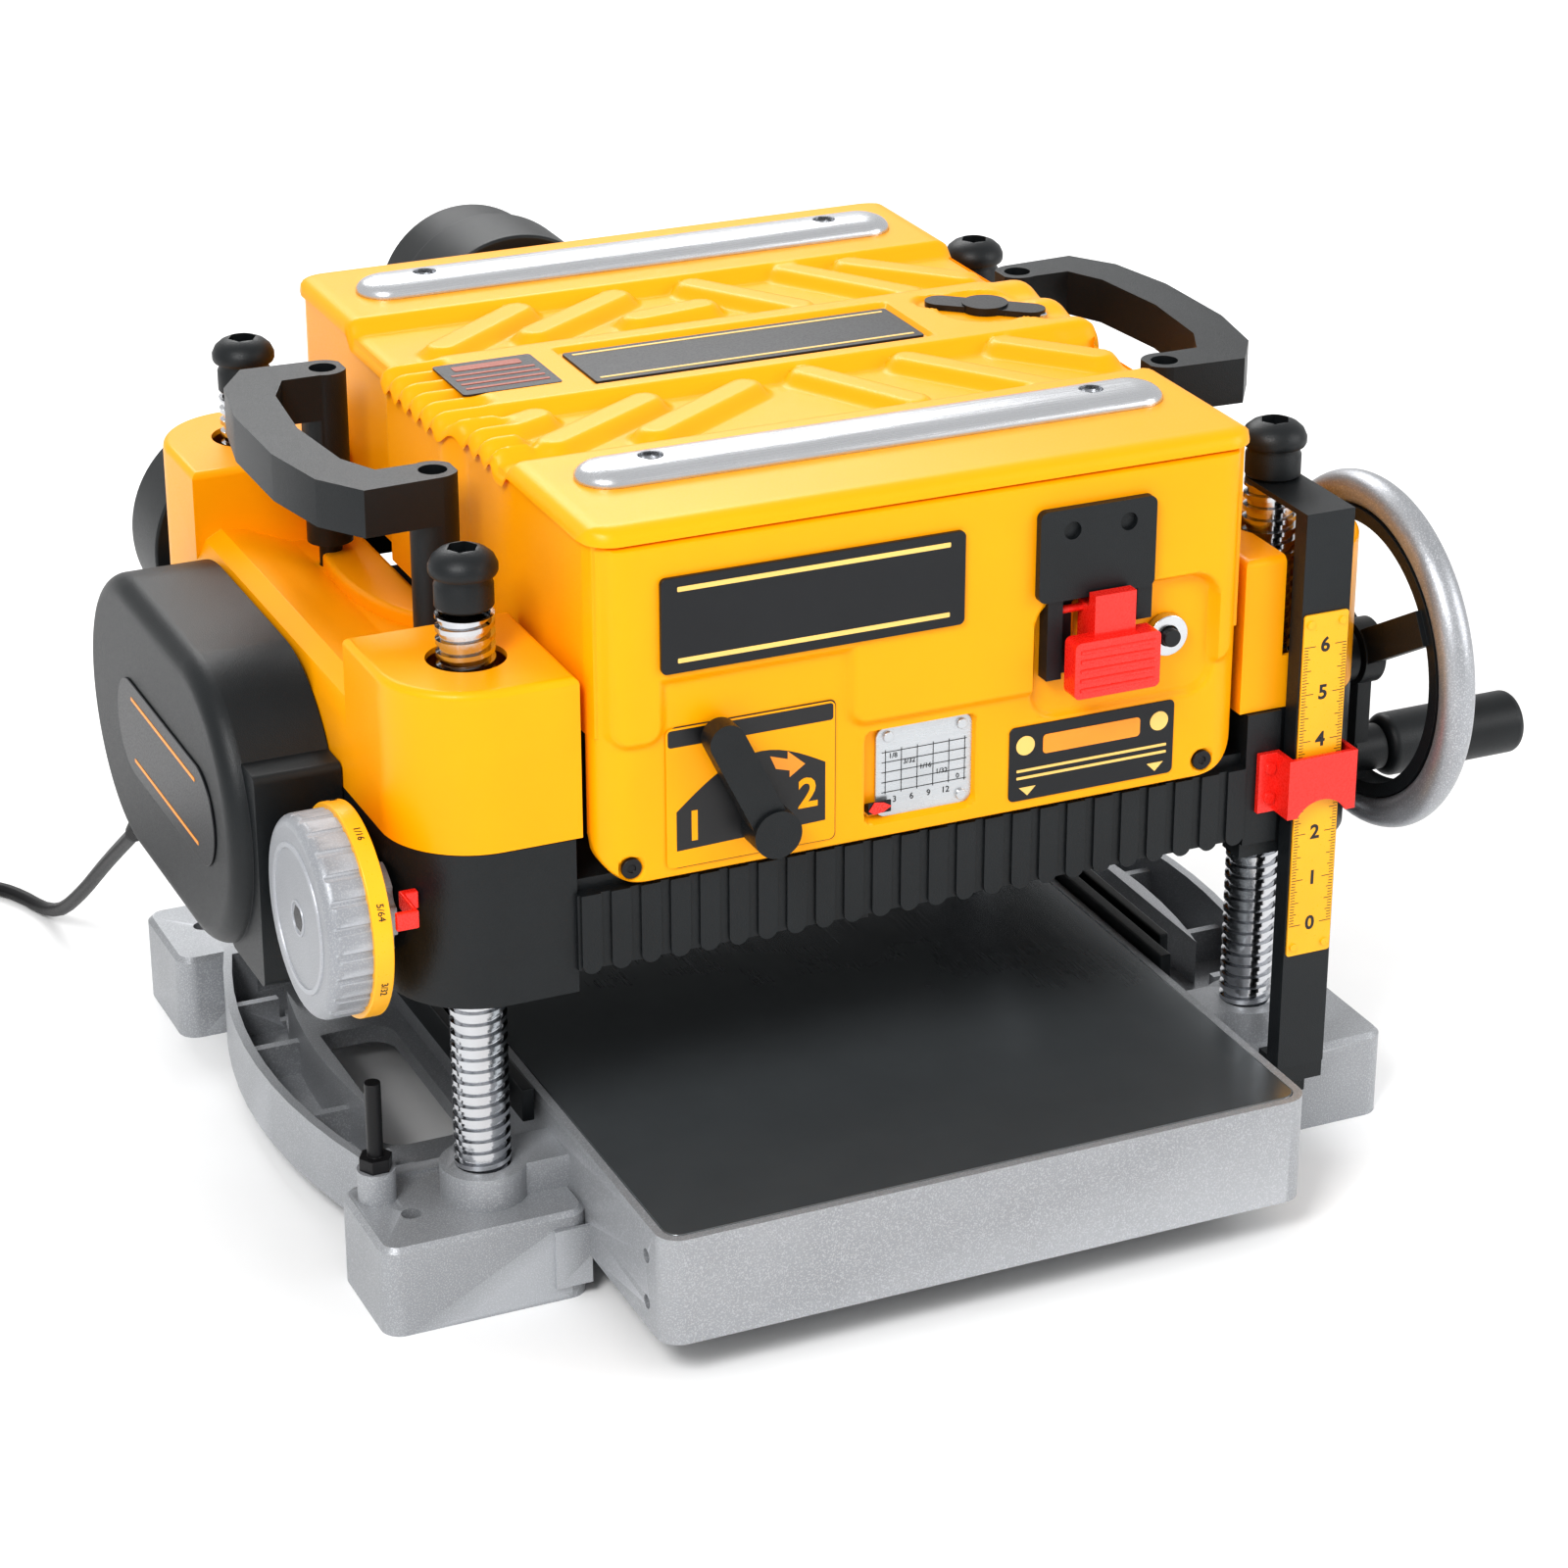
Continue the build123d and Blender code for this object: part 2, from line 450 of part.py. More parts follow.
def handle(sx):
    """Lifting handle: two legs, two arms and a bowed grip."""
    plan_out = [(sx * 196, -94), (sx * 236, -96), (sx * 252, -72), (sx * 260, -30), (sx * 260, 30),
                (sx * 252, 72), (sx * 236, 96), (sx * 196, 94)]
    plan_in = [(sx * 170, -71), (sx * 222, -71), (sx * 232, -50), (sx * 237, 0), (sx * 232, 50),
               (sx * 222, 71), (sx * 170, 71)]
    bar = prism_z(plan_out, 368, HANDLE_Z) - prism_z(plan_in, 360, 400)
    for y in (-HANDLE_Y, HANDLE_Y):
        bar += cyl(sx * HANDLE_X, y, 299.5, HANDLE_Z, 12)
        bar -= cyl(sx * HANDLE_X, y, 380, 400, 7)
    bar -= box(sx * 160, sx * 186.5, -120, 120, 290, 400)
    for y in (-HANDLE_Y, HANDLE_Y):
        bar += cyl(sx * HANDLE_X, y, 275, 300, 6)
    return bar


save("handle_left", handle(-1))
save("handle_right", handle(1))
save("blade_wrench", wrench_slot(401.3, 404.3, 8) + cyl(*WRENCH, 401.3, 405.5, 12))

# ---- left side: motor, belt drive and their cover ----
motor = cyl_x(-286, -SIDE_IN - 6, MOTOR_Y, MOTOR_Z, MOTOR_R) + cyl_x(-292, -286, MOTOR_Y, MOTOR_Z, 18)
motor -= cyl_x(-300, -190, MOTOR_Y, MOTOR_Z, 6.05)
motor -= cyl_x(-280, -196, MOTOR_Y, MOTOR_Z, MOTOR_R - 7)
save("motor_can", motor)
armature = cyl_x(PULLEY_X0, -190, MOTOR_Y, MOTOR_Z, 6) + cyl_x(-276, -202, MOTOR_Y, MOTOR_Z, 30)
armature += cyl_x(PULLEY_X0, PULLEY_X1, MOTOR_Y, MOTOR_Z, SMALL_R)
save("motor_armature", armature)
save("head_pulley", cyl_x(PULLEY_X0, PULLEY_X1, 0, HEAD_Z, BIG_R) - cyl_x(-310, -290, 0, HEAD_Z, 10))


def belt(r_gap, thick):
    """Open belt: two arcs joined by the pulleys' outer tangents, in the Y-Z plane."""
    dy, dz = MOTOR_Y, MOTOR_Z - HEAD_Z
    span = (dy * dy + dz * dz) ** 0.5
    lean = atan2(dz, dy)

    def outline(a, b, x0, x1):
        turn = (a - b) / span
        up = lean + pi / 2 - turn
        low = lean - pi / 2 + turn
        pts = [(a * cos(up), HEAD_Z + a * sin(up)), (dy + b * cos(up), MOTOR_Z + b * sin(up)),
               (dy + b * cos(low), MOTOR_Z + b * sin(low)), (a * cos(low), HEAD_Z + a * sin(low))]
        return prism_x(pts, x0, x1) + cyl_x(x0, x1, 0, HEAD_Z, a) + cyl_x(x0, x1, dy, MOTOR_Z, b)

    outer = outline(BIG_R + r_gap + thick, SMALL_R + r_gap + thick, PULLEY_X0 + 1, PULLEY_X1 - 1)
    return outer - outline(BIG_R + r_gap, SMALL_R + r_gap, PULLEY_X0, PULLEY_X1)


save("drive_belt", belt(0.4, 2.5))


def motor_cover():
    ya, yb, r, wall, x1 = -30.0, 72.0, 75.0, 3.0, -258.3
    outer = slot_x(-312, x1, ya, yb, MOTOR_Z, r)
    outer = fillet(outer.edges().group_by(Axis.X)[0], 11)
    outer += fillet(box(-302, x1, -112, -60, 152, 263).edges().filter_by(Axis.X), 4)
    hollow = slot_x(-309, -250, ya, yb, MOTOR_Z, r - wall)
    hollow = fillet(hollow.edges().group_by(Axis.X)[0], 8)
    return outer - hollow - box(-299, -250, -109, -60, 155, 260)


save("motor_cover", motor_cover())
plates = [badge, label, notice, rbox(-PLATE_X, PLATE_X, -PLATE_Y, PLATE_Y, 401.0, 402.6, 2)]
plates.append(slot_x(-313.2, -312, -52, 62, MOTOR_Z, 26))
save_group("label_plates", plates)

# ---- cutterhead, rollers ----
head = cyl_x(-WORK_X, WORK_X, 0, HEAD_Z, HEAD_R) + cyl_x(-306, 190, 0, HEAD_Z, 10)
head += cyl_x(-190, -WORK_X, 0, HEAD_Z, 12) + cyl_x(WORK_X, 190, 0, HEAD_Z, 12)
knives = []
for i in range(3):
    turn = Pos(0, 0, HEAD_Z) * Rot(120 * i, 0, 0) * Pos(0, 0, -HEAD_Z)
    slot = box(-WORK_X - 1, WORK_X + 1, -6, 1.5, HEAD_Z + 12, HEAD_Z + 40)
    head -= turn * slot
    knives.append(turn * box(-WORK_X, WORK_X, -0.1, 1.4, HEAD_Z + 12.2, HEAD_Z + KNIFE_R))
    bar = box(-WORK_X, WORK_X, -5.9, -0.2, HEAD_Z + 12.2, HEAD_Z + 26)
    head += turn * Pos(0, -0.15, -0.3) * bar
save("cutterhead", head)
save_group("knives", knives)
for name, sy in (("infeed", -1), ("outfeed", 1)):
    y = sy * ROLLER_Y
    roller = cyl_x(-WORK_X, WORK_X, y, ROLLER_Z, ROLLER_R) + cyl_x(-183.5, 183.5, y, ROLLER_Z, 8)
    save(f"{name}_roller", roller)

# ---- lift: four nuts on the posts, joined by a chain, turned by the crank ----
for key, (sx, sy) in CORNERS.items():
    x, y = sx * POST_X, sy * POST_Y
    nut = cyl(x, y, CHAIN_Z0 + 1, 206, NUT_R) + cyl(x, y, CHAIN_Z0 + 1, CHAIN_Z1 - 1, 21)
    nut += cyl(x, y, FLOOR_Z + 6.2, FLOOR_Z + 10, 20)
    if key == "fr":
        nut += cyl(x, y, 206, 240, NUT_R) + cyl(x, y, 236, 240.5, 20)
    nut -= cyl(x, y, 170, 260, POST_R + 0.4)
    save(f"lift_nut_{key}", nut)


def chain_loop(r, z0, z1):
    """The area inside a chain that runs round all four posts at radius r."""
    body = box(-POST_X, POST_X, -POST_Y - r, POST_Y + r, z0, z1)
    body += box(-POST_X - r, POST_X + r, -POST_Y, POST_Y, z0, z1)
    for sx, sy in CORNERS.values():
        body += cyl(sx * POST_X, sy * POST_Y, z0, z1, r)
    return body


save("lift_chain", chain_loop(25.5, CHAIN_Z0, CHAIN_Z1) - chain_loop(22.5, CHAIN_Z0 - 1, CHAIN_Z1 + 1))

# ---- crank on the right ----
wheel = cyl_x(264, 276, CRANK_Y, CRANK_Z, 17) + cyl_x(236, 268, CRANK_Y, CRANK_Z, 7)
wheel += cyl_x(230, 238, CRANK_Y, CRANK_Z, 8.5)
band = cyl_x(268, 282, CRANK_Y, CRANK_Z, 76) - cyl_x(260, 290, CRANK_Y, CRANK_Z, 69)
for i in range(3):
    spoke = box(265, 273, -9, 9, 10, 71)
    wheel += Pos(0, CRANK_Y, CRANK_Z) * Rot(180 + 120 * i, 0, 0) * spoke
wheel += band + cyl_x(266, 284, CRANK_Y, CRANK_Z - GRIP_OFF, 12)
wheel += cyl_x(280, 356, CRANK_Y, CRANK_Z - GRIP_OFF, 5)
save("crank_wheel", wheel)
rim = Pos(275, CRANK_Y, CRANK_Z) * Rot(0, 90, 0) * Torus(CRANK_R - 9, 9)
rim -= cyl_x(260, 290, CRANK_Y, CRANK_Z, 76)
save("crank_rim", rim)
grip = cyl_x(285, 366, CRANK_Y, CRANK_Z - GRIP_OFF, 16.5)
grip = fillet(grip.edges().filter_by(GeomType.CIRCLE), 5)
save("crank_grip", grip - cyl_x(280, 357, CRANK_Y, CRANK_Z - GRIP_OFF, 5.06))

# ---- depth turret on the left ----
knob = cyl_x(-300, -280, KNOB_Y, KNOB_Z, 49)
knob = fillet(knob.edges().group_by(Axis.X)[0], 6)
for i in range(24):
    a = 2 * pi * i / 24
    knob -= cyl_x(-297, -279, KNOB_Y + 50.5 * cos(a), KNOB_Z + 50.5 * sin(a), 2.6)
knob += cyl_x(-280, -246, KNOB_Y, KNOB_Z, 6)
save("depth_knob", knob)
ring = cyl_x(-280, -270.5, KNOB_Y, KNOB_Z, KNOB_R) - cyl_x(-290, -260, KNOB_Y, KNOB_Z, 6)
save("depth_ring", ring)
turret = cyl_x(-270.3, -259, KNOB_Y, KNOB_Z, 23.5) - cyl_x(-290, -250, KNOB_Y, KNOB_Z, 6)
for i in range(6):
    a = 2 * pi * i / 6 + pi / 6
    turret -= cyl_x(-275, -255, KNOB_Y + 27 * cos(a), KNOB_Z + 27 * sin(a), 5 + 0.6 * i)
save("depth_turret", turret)
tab = box(-268, -257, -214.5, -211.2, KNOB_Z + 8, KNOB_Z + 17)
tab += box(-259, -257, -214.5, -190.5, KNOB_Z + 8, KNOB_Z + 17)
save("knob_pointer", tab + box(-259, -250.4, -195, -190.5, KNOB_Z + 8, KNOB_Z + 17))

# ---- ruler pointer ----
z = RULER_Z0 + OPENING
clip = box(184, 196.5, -216.2, -213.2, z - 16, z + 16)
clip += box(193.5, 196.5, -229.5, -213.2, z - 16, z + 16)
clip += box(193.5, 232.5, -229.5, -227, z - 16, z + 16)
clip += box(230, 232.5, -229.5, -211, z - 16, z + 16)
clip -= cyl_y(POST_X, -235, -220, z - 24, 16)
for dz in (-8, 8):
    clip += cyl_y(190, -217.6, -216.2, z + dz, 3)
save("ruler_pointer", clip)

# ---- chip chute and hose collar at the back ----
def chute_body(y0, y1, inset):
    """Fan housing, duct and the neck up to the hose collar, each side moved in by inset."""
    body = cyl_y(FAN_X, y0, y1, FAN_Z, 62 - inset)
    body += box(FAN_X, 60 - inset, y0, y1, 232 + inset, 312 - inset)
    body += cyl_y(PORT_X, y0, y1, PORT_Z, PORT_R + 5 - inset)
    half = PORT_R + 5 - inset
    return body + box(PORT_X - half, PORT_X + half, y0, y1, 290, PORT_Z)


chute = chute_body(215, 262, 0) - chute_body(219, 258, 4)
chute += cyl_y(PORT_X, 258, 300, PORT_Z, PORT_R)
chute -= cyl_y(PORT_X, 230, 301, PORT_Z, PORT_R - 4)
save("chip_chute", chute)
fan = cyl_y(FAN_X, 222, 228, FAN_Z, 52)
for i in range(8):
    fan += Pos(FAN_X, 0, FAN_Z) * Rot(0, 45 * i, 0) * box(-1.5, 1.5, 228, 250, 14, 50)
fan += cyl_y(FAN_X, 221, 252, FAN_Z, 12)
save("chip_fan", fan)


# ---- power cord: strain relief, hanging stretch, stretch on the bench, coil and plug ----
def cord_tube(name, points):
    """Straight runs joined by tangent arcs, as large as the two runs beside each corner allow."""
    runs = [dist(a, b) for a, b in zip(points, points[1:])]
    ways = [Vector(*b) - Vector(*a) for a, b in zip(points, points[1:])]
    turns = [a.get_angle(b) for a, b in zip(ways, ways[1:])]
    radii = [0.45 * min(a, b) / tan(radians(turn / 2)) for a, b, turn in zip(runs, runs[1:], turns)]
    path = FilletPolyline(*points, radius=radii)
    start = Plane(origin=points[0], z_dir=ways[0])
    tube = sweep(start * Circle(CORD_R), path=path)
    section = pi * CORD_R ** 2
    print(name, "radii", [round(r) for r in radii], "turns", [round(t, 1) for t in turns],
          "length", round(path.length, 1), "volume / (section x length)",
          round(tube.volume / (section * path.length), 4))
    save(name, tube)


relief_end = Vector(*CORD_EXIT) + Vector(*CORD_LEAN) * RELIEF
relief_root = Vector(*CORD_EXIT) - Vector(*CORD_LEAN) * 6
relief_way = relief_end - relief_root
relief = Plane(origin=relief_root, z_dir=relief_way) * Pos(0, 0, relief_way.length / 2)
save("strain_relief", relief * Cone(8.5, 5.2, relief_way.length))
cord_tube("cord_drop", CORD_DROP)
cord_tube("cord_floor", CORD_FLOOR)
coil = cyl(COIL_X, COIL_Y, CORD_FLOOR[0][2] - CORD_R, COIL_Z1, COIL_R1)
save("cord_coil", coil - cyl(COIL_X, COIL_Y, -1, 99, COIL_R0))
plug = box(PLUG_X - 12, PLUG_X + 12, PLUG_Y0, PLUG_Y1, PLUG_Z - 11.8, PLUG_Z + 11.8)
plug = fillet(plug.edges().filter_by(Axis.Y), 6)
plug += Pos(PLUG_X, (PLUG_Y1 + COIL_Y) / 2, PLUG_Z) * Rot(-90, 0, 0) * Cone(9, 5, COIL_Y - PLUG_Y1)
for side in (-1, 1):
    plug += box(PLUG_X + side * 6.35 - 0.8, PLUG_X + side * 6.35 + 0.8, PLUG_Y0 - 17, PLUG_Y0,
                PLUG_Z - 3.2, PLUG_Z + 3.2)
plug += cyl_y(PLUG_X, PLUG_Y0 - 20, PLUG_Y0, PLUG_Z - 7.5, 2.4)
save("plug", plug)
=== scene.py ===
import bmesh
import bpy
import json
import numpy as np
from math import cos, pi, radians, sin, sqrt
from mathutils import Matrix, Vector


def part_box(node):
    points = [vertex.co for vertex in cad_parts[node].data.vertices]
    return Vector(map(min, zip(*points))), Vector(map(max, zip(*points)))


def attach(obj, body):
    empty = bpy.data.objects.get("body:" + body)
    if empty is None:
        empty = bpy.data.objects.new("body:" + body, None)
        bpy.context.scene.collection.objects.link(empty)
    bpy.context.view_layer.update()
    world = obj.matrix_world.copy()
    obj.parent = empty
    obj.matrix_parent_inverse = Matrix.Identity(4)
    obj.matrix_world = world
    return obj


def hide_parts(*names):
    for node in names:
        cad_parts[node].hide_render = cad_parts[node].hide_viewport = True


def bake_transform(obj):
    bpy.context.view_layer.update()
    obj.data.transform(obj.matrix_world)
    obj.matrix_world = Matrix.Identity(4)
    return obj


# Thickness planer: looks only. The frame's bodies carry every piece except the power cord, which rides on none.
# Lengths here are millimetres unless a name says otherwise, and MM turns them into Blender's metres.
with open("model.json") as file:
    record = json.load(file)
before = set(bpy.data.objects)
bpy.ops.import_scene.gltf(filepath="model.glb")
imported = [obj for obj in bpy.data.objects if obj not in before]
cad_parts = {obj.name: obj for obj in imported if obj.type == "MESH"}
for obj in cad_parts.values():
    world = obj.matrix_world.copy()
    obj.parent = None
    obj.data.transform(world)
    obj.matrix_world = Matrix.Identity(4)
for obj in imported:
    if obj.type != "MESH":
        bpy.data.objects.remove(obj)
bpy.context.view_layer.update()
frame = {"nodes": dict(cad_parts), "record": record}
MM = 0.001
RECORD = frame["record"]
SLOT_OF = {row["node"]: row["material_slot"] for row in RECORD["subparts"]}
BODY_OF = {node: body for body, members in RECORD["behaviour"]["bodies"].items() for node in members}


def span(node, axis):
    """Lowest and highest value of a CAD node along one axis, in millimetres."""
    low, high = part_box(node)
    return low[axis] / MM, high[axis] / MM


# ---- sizes that several pieces share, read from the frame ----
X, Y, Z = 0, 1, 2
POST_X = (span("post_fr", X)[0] + span("post_fr", X)[1]) / 2
POST_Y = (span("post_rr", Y)[0] + span("post_rr", Y)[1]) / 2
POST_R = (span("post_fr", X)[1] - span("post_fr", X)[0]) / 2
POST_Z0, CAP_TOP = span("post_fr", Z)[0], span("post_caps", Z)[1]
SHOULDER = span("ruler_bracket", Z)[1] - 3
PANEL_X, PANEL_Z = span("front_panel", X)[1], span("front_panel", Z)
BAND_Y = span("front_panel", Y)[0]                 # face of the raised band on the front panel
FACE_Y = BAND_Y + 3.5                              # face of the panel below the band
COVER_X, COVER_Y1 = span("top_cover", X)[1], span("top_cover", Y)[1]
COVER_TOP, COVER_LOW = span("top_cover", Z)[1], span("top_cover", Z)[0]
KNOB_Y = sum(span("depth_ring", Y)) / 2
KNOB_Z = sum(span("depth_ring", Z)) / 2
RING_R = (span("depth_ring", Z)[1] - span("depth_ring", Z)[0]) / 2
RULER_Z0, INCH = 134.0, 25.4                       # height of the ruler's zero mark, and its division
RESET_X, RESET_Z = (sum(span("reset_button", axis)) / 2 for axis in (X, Z))
POST_AT = {"fl": (-POST_X, -POST_Y), "fr": (POST_X, -POST_Y), "rl": (-POST_X, POST_Y), "rr": (POST_X, POST_Y)}
UP, RIGHT = (0, 0, 1), (1, 0, 0)


# ---- materials ----
def shader_nodes(name):
    mat = bpy.data.materials.new(name)
    mat.use_nodes = True
    return mat, mat.node_tree.nodes, mat.node_tree.links


def noise(nodes, links, vector, scale, detail=4.0, rough=0.55):
    node = nodes.new("ShaderNodeTexNoise")
    node.inputs["Scale"].default_value = scale
    node.inputs["Detail"].default_value = detail
    node.inputs["Roughness"].default_value = rough
    links.new(vector, node.inputs["Vector"])
    return node.outputs["Fac"]


def spread(nodes, links, value, low, high, start=0.3, stop=0.7):
    """Maps a noise value to the range from low to high."""
    node = nodes.new("ShaderNodeMapRange")
    node.inputs["From Min"].default_value = start
    node.inputs["From Max"].default_value = stop
    node.inputs["To Min"].default_value = low
    node.inputs["To Max"].default_value = high
    links.new(value, node.inputs["Value"])
    return node.outputs["Result"]


def mixed(nodes, links, factor, first, second):
    node = nodes.new("ShaderNodeMix")
    node.data_type = "RGBA"
    links.new(factor, node.inputs["Factor"])
    for socket, value in ((node.inputs["A"], first), (node.inputs["B"], second)):
        if isinstance(value, (tuple, list)):
            socket.default_value = (*value, 1.0)
        else:
            links.new(value, socket)
    return node.outputs["Result"]


def shade_of(colour, factor):
    return tuple(min(1.0, max(0.0, part * factor)) for part in colour)


def finish(name, colour, rough, metallic=0.0, coat=0.0, tint=0.05, tint_scale=25.0, grain=900.0,
           bump=0.05, rough_by=0.06, speck=None, speck_scale=1400.0, brush=(1, 1, 1), wear=0.0,
           specular=0.5):
    """A procedural finish: patchy tint, optional specks and worn edges, uneven gloss and a fine grain."""
    mat, nodes, links = shader_nodes(name)
    bsdf = nodes["Principled BSDF"]
    coords = nodes.new("ShaderNodeTexCoord")
    place = nodes.new("ShaderNodeMapping")
    place.inputs["Scale"].default_value = brush
    links.new(coords.outputs["Object"], place.inputs["Vector"])
    patch = noise(nodes, links, coords.outputs["Object"], tint_scale)
    base = mixed(nodes, links, spread(nodes, links, patch, 0, 1), shade_of(colour, 1 - tint),
                 shade_of(colour, 1 + tint))
    fine = noise(nodes, links, place.outputs["Vector"], grain, 2.0)
    if speck:
        dots = noise(nodes, links, place.outputs["Vector"], speck_scale, 1.0)
        base = mixed(nodes, links, spread(nodes, links, dots, 0, 1, 0.52, 0.66), base, speck)
    if wear:
        edge = nodes.new("ShaderNodeNewGeometry").outputs["Pointiness"]
        worn = spread(nodes, links, edge, 0, wear, 0.52, 0.62)
        base = mixed(nodes, links, worn, base, shade_of(colour, 2.4))
    links.new(base, bsdf.inputs["Base Color"])
    gloss = spread(nodes, links, fine, rough - rough_by, rough + rough_by)
    links.new(gloss, bsdf.inputs["Roughness"])
    bsdf.inputs["Metallic"].default_value = metallic
    bsdf.inputs["Coat Weight"].default_value = coat
    bsdf.inputs["Specular IOR Level"].default_value = specular
    raised = nodes.new("ShaderNodeBump")
    raised.inputs["Strength"].default_value = bump
    raised.inputs["Distance"].default_value = 0.0004
    links.new(fine, raised.inputs["Height"])
    links.new(raised.outputs["Normal"], bsdf.inputs["Normal"])
    return mat


YELLOW = (0.95, 0.385, 0.0)
SLATE = (0.0085, 0.0105, 0.0120)
FINISHES = {
    "yellow_plastic": finish("yellow_plastic", YELLOW, 0.36, tint=0.03, tint_scale=9, grain=1500,
                             bump=0.10, specular=0.28),
    "black_plastic": finish("black_plastic", SLATE, 0.42, tint=0.12, grain=1700, bump=0.35, wear=0.2,
                            specular=0.38),
    "black_casting": finish("black_casting", SLATE, 0.40, tint=0.15, grain=900, bump=0.30, wear=0.2,
                            specular=0.38),
    "grey_casting": finish("grey_casting", (0.31, 0.32, 0.335), 0.40, metallic=0.35, tint=0.05,
                           grain=1300, bump=0.30, speck=(0.43, 0.44, 0.46), wear=0.3),
    "platen_steel": finish("platen_steel", (0.150, 0.162, 0.170), 0.21, metallic=0.6, tint=0.04,
                           grain=900, bump=0.012, rough_by=0.03, brush=(1, 0.02, 1), specular=0.6),
    "thread_steel": finish("thread_steel", (0.56, 0.57, 0.59), 0.16, metallic=1.0, tint=0.05, bump=0.04),
    "black_steel": finish("black_steel", (0.012, 0.012, 0.013), 0.34, metallic=0.4, bump=0.1, wear=0.3),
    "bright_steel": finish("bright_steel", (0.6, 0.61, 0.63), 0.22, metallic=1.0, grain=600, bump=0.05,
                           brush=(0.1, 1, 1)),
    "rail_aluminium": finish("rail_aluminium", (0.60, 0.61, 0.63), 0.27, metallic=1.0, tint=0.02,
                             grain=1500, bump=0.08, brush=(0.02, 1, 1)),
    "cast_aluminium": finish("cast_aluminium", (0.36, 0.37, 0.39), 0.40, metallic=0.7, grain=1100,
                             bump=0.22, speck=(0.52, 0.53, 0.55)),
    "rubber_black": finish("rubber_black", (0.009, 0.009, 0.010), 0.50, bump=0.25, specular=0.35),
    "cord_black": finish("cord_black", (0.007, 0.007, 0.008), 0.42, bump=0.12, tint=0.1, specular=0.35),
    "grey_plastic": finish("grey_plastic", (0.29, 0.30, 0.32), 0.38, metallic=0.25, grain=1300, bump=0.2,
                           speck=(0.36, 0.37, 0.39), wear=0.25),
    "ruler_yellow": finish("ruler_yellow", (0.93, 0.44, 0.01), 0.33, tint=0.03, bump=0.05),
    "red_plastic": finish("red_plastic", (0.80, 0.022, 0.012), 0.28, coat=0.2, tint=0.05, bump=0.06),
    "silver_plate": finish("silver_plate", (0.52, 0.54, 0.56), 0.30, metallic=0.8, grain=1500, bump=0.05,
                           brush=(0.05, 1, 1)),
    "dark_plate": finish("dark_plate", (0.009, 0.010, 0.012), 0.34, tint=0.1, bump=0.1, wear=0.15,
                         specular=0.38),
}
PRINTS = {
    "ink": finish("print_ink", (0.012, 0.012, 0.013), 0.4, bump=0.02),
    "cream": finish("print_cream", (0.86, 0.56, 0.16), 0.4, bump=0.02),
    "orange": finish("print_orange", (0.90, 0.30, 0.02), 0.4, bump=0.02),
    "rust": finish("print_rust", (0.30, 0.045, 0.012), 0.4, bump=0.02),
}


# ---- mesh helpers ----
def linked(name, data):
    """A new object in the scene that shows the given data."""
    obj = bpy.data.objects.new(name, data)
    bpy.context.scene.collection.objects.link(obj)
    return obj


def baked(obj):
    """The object's mesh with its modifiers or its curve settings applied. The object is removed."""
    bpy.context.view_layer.update()
    mesh = bpy.data.meshes.new_from_object(obj.evaluated_get(bpy.context.evaluated_depsgraph_get()))
    bpy.data.objects.remove(obj)
    return mesh


def written(work, mesh):
    """The mesh with the working copy written into it."""
    work.to_mesh(mesh)
    work.free()
    return mesh


def mesh_from(points, faces):
    """Mesh from millimetre points, with its faces turned outwards."""
    mesh = bpy.data.meshes.new("mesh")
    mesh.from_pydata([(x * MM, y * MM, z * MM) for x, y, z in points], [], faces)
    work = bmesh.new()
    work.from_mesh(mesh)
    bmesh.ops.remove_doubles(work, verts=work.verts, dist=1e-6)
    bmesh.ops.recalc_face_normals(work, faces=work.faces)
    return written(work, mesh)


def smooth(mesh, angle=35):
    mesh.shade_smooth()
    mesh.set_sharp_from_angle(angle=radians(angle))
    return mesh


def piece(name, mesh, body, slot, *nodes, look=None):
    """A mesh as a piece that rides on a body, takes a slot's finish and may stand for CAD nodes."""
    obj = linked(name, mesh)
    mesh.materials.clear()
    mesh.materials.append(look or FINISHES[slot])
    if body:
        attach(obj, body)
    if nodes:
        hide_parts(*nodes)
    return obj


def bevelled(mesh, width, segments=2, angle=30):
    """The mesh with its sharp edges rounded by a width in millimetres and its flat faces shaded flat."""
    obj = linked("bevel_work", mesh)
    bevel = obj.modifiers.new("bevel", "BEVEL")
    bevel.width = width * MM
    bevel.segments = segments
    bevel.limit_method = "ANGLE"
    bevel.angle_limit = radians(angle)
    bevel.harden_normals = False
    bevel.miter_outer = "MITER_ARC"
    weighted = obj.modifiers.new("weighted", "WEIGHTED_NORMAL")
    weighted.keep_sharp = True
    return baked(obj)


def refine(node, width, segments=2):
    """Shows a CAD node in its own finish, cleaned of its seams and with rounded edges."""
    mesh = frame["nodes"][node].data.copy()
    for extra in ("custom_normal", "sharp_edge", "sharp_face"):
        if extra in mesh.attributes:
            mesh.attributes.remove(mesh.attributes[extra])
    work = bmesh.new()
    work.from_mesh(mesh)
    bmesh.ops.remove_doubles(work, verts=work.verts, dist=1e-5)
    bmesh.ops.dissolve_limit(work, angle_limit=radians(0.5), verts=work.verts, edges=work.edges)
    bmesh.ops.recalc_face_normals(work, faces=work.faces)
    written(work, mesh).shade_smooth()
    return piece(node + "_skin", bevelled(mesh, width, segments), BODY_OF[node], SLOT_OF[node], node)


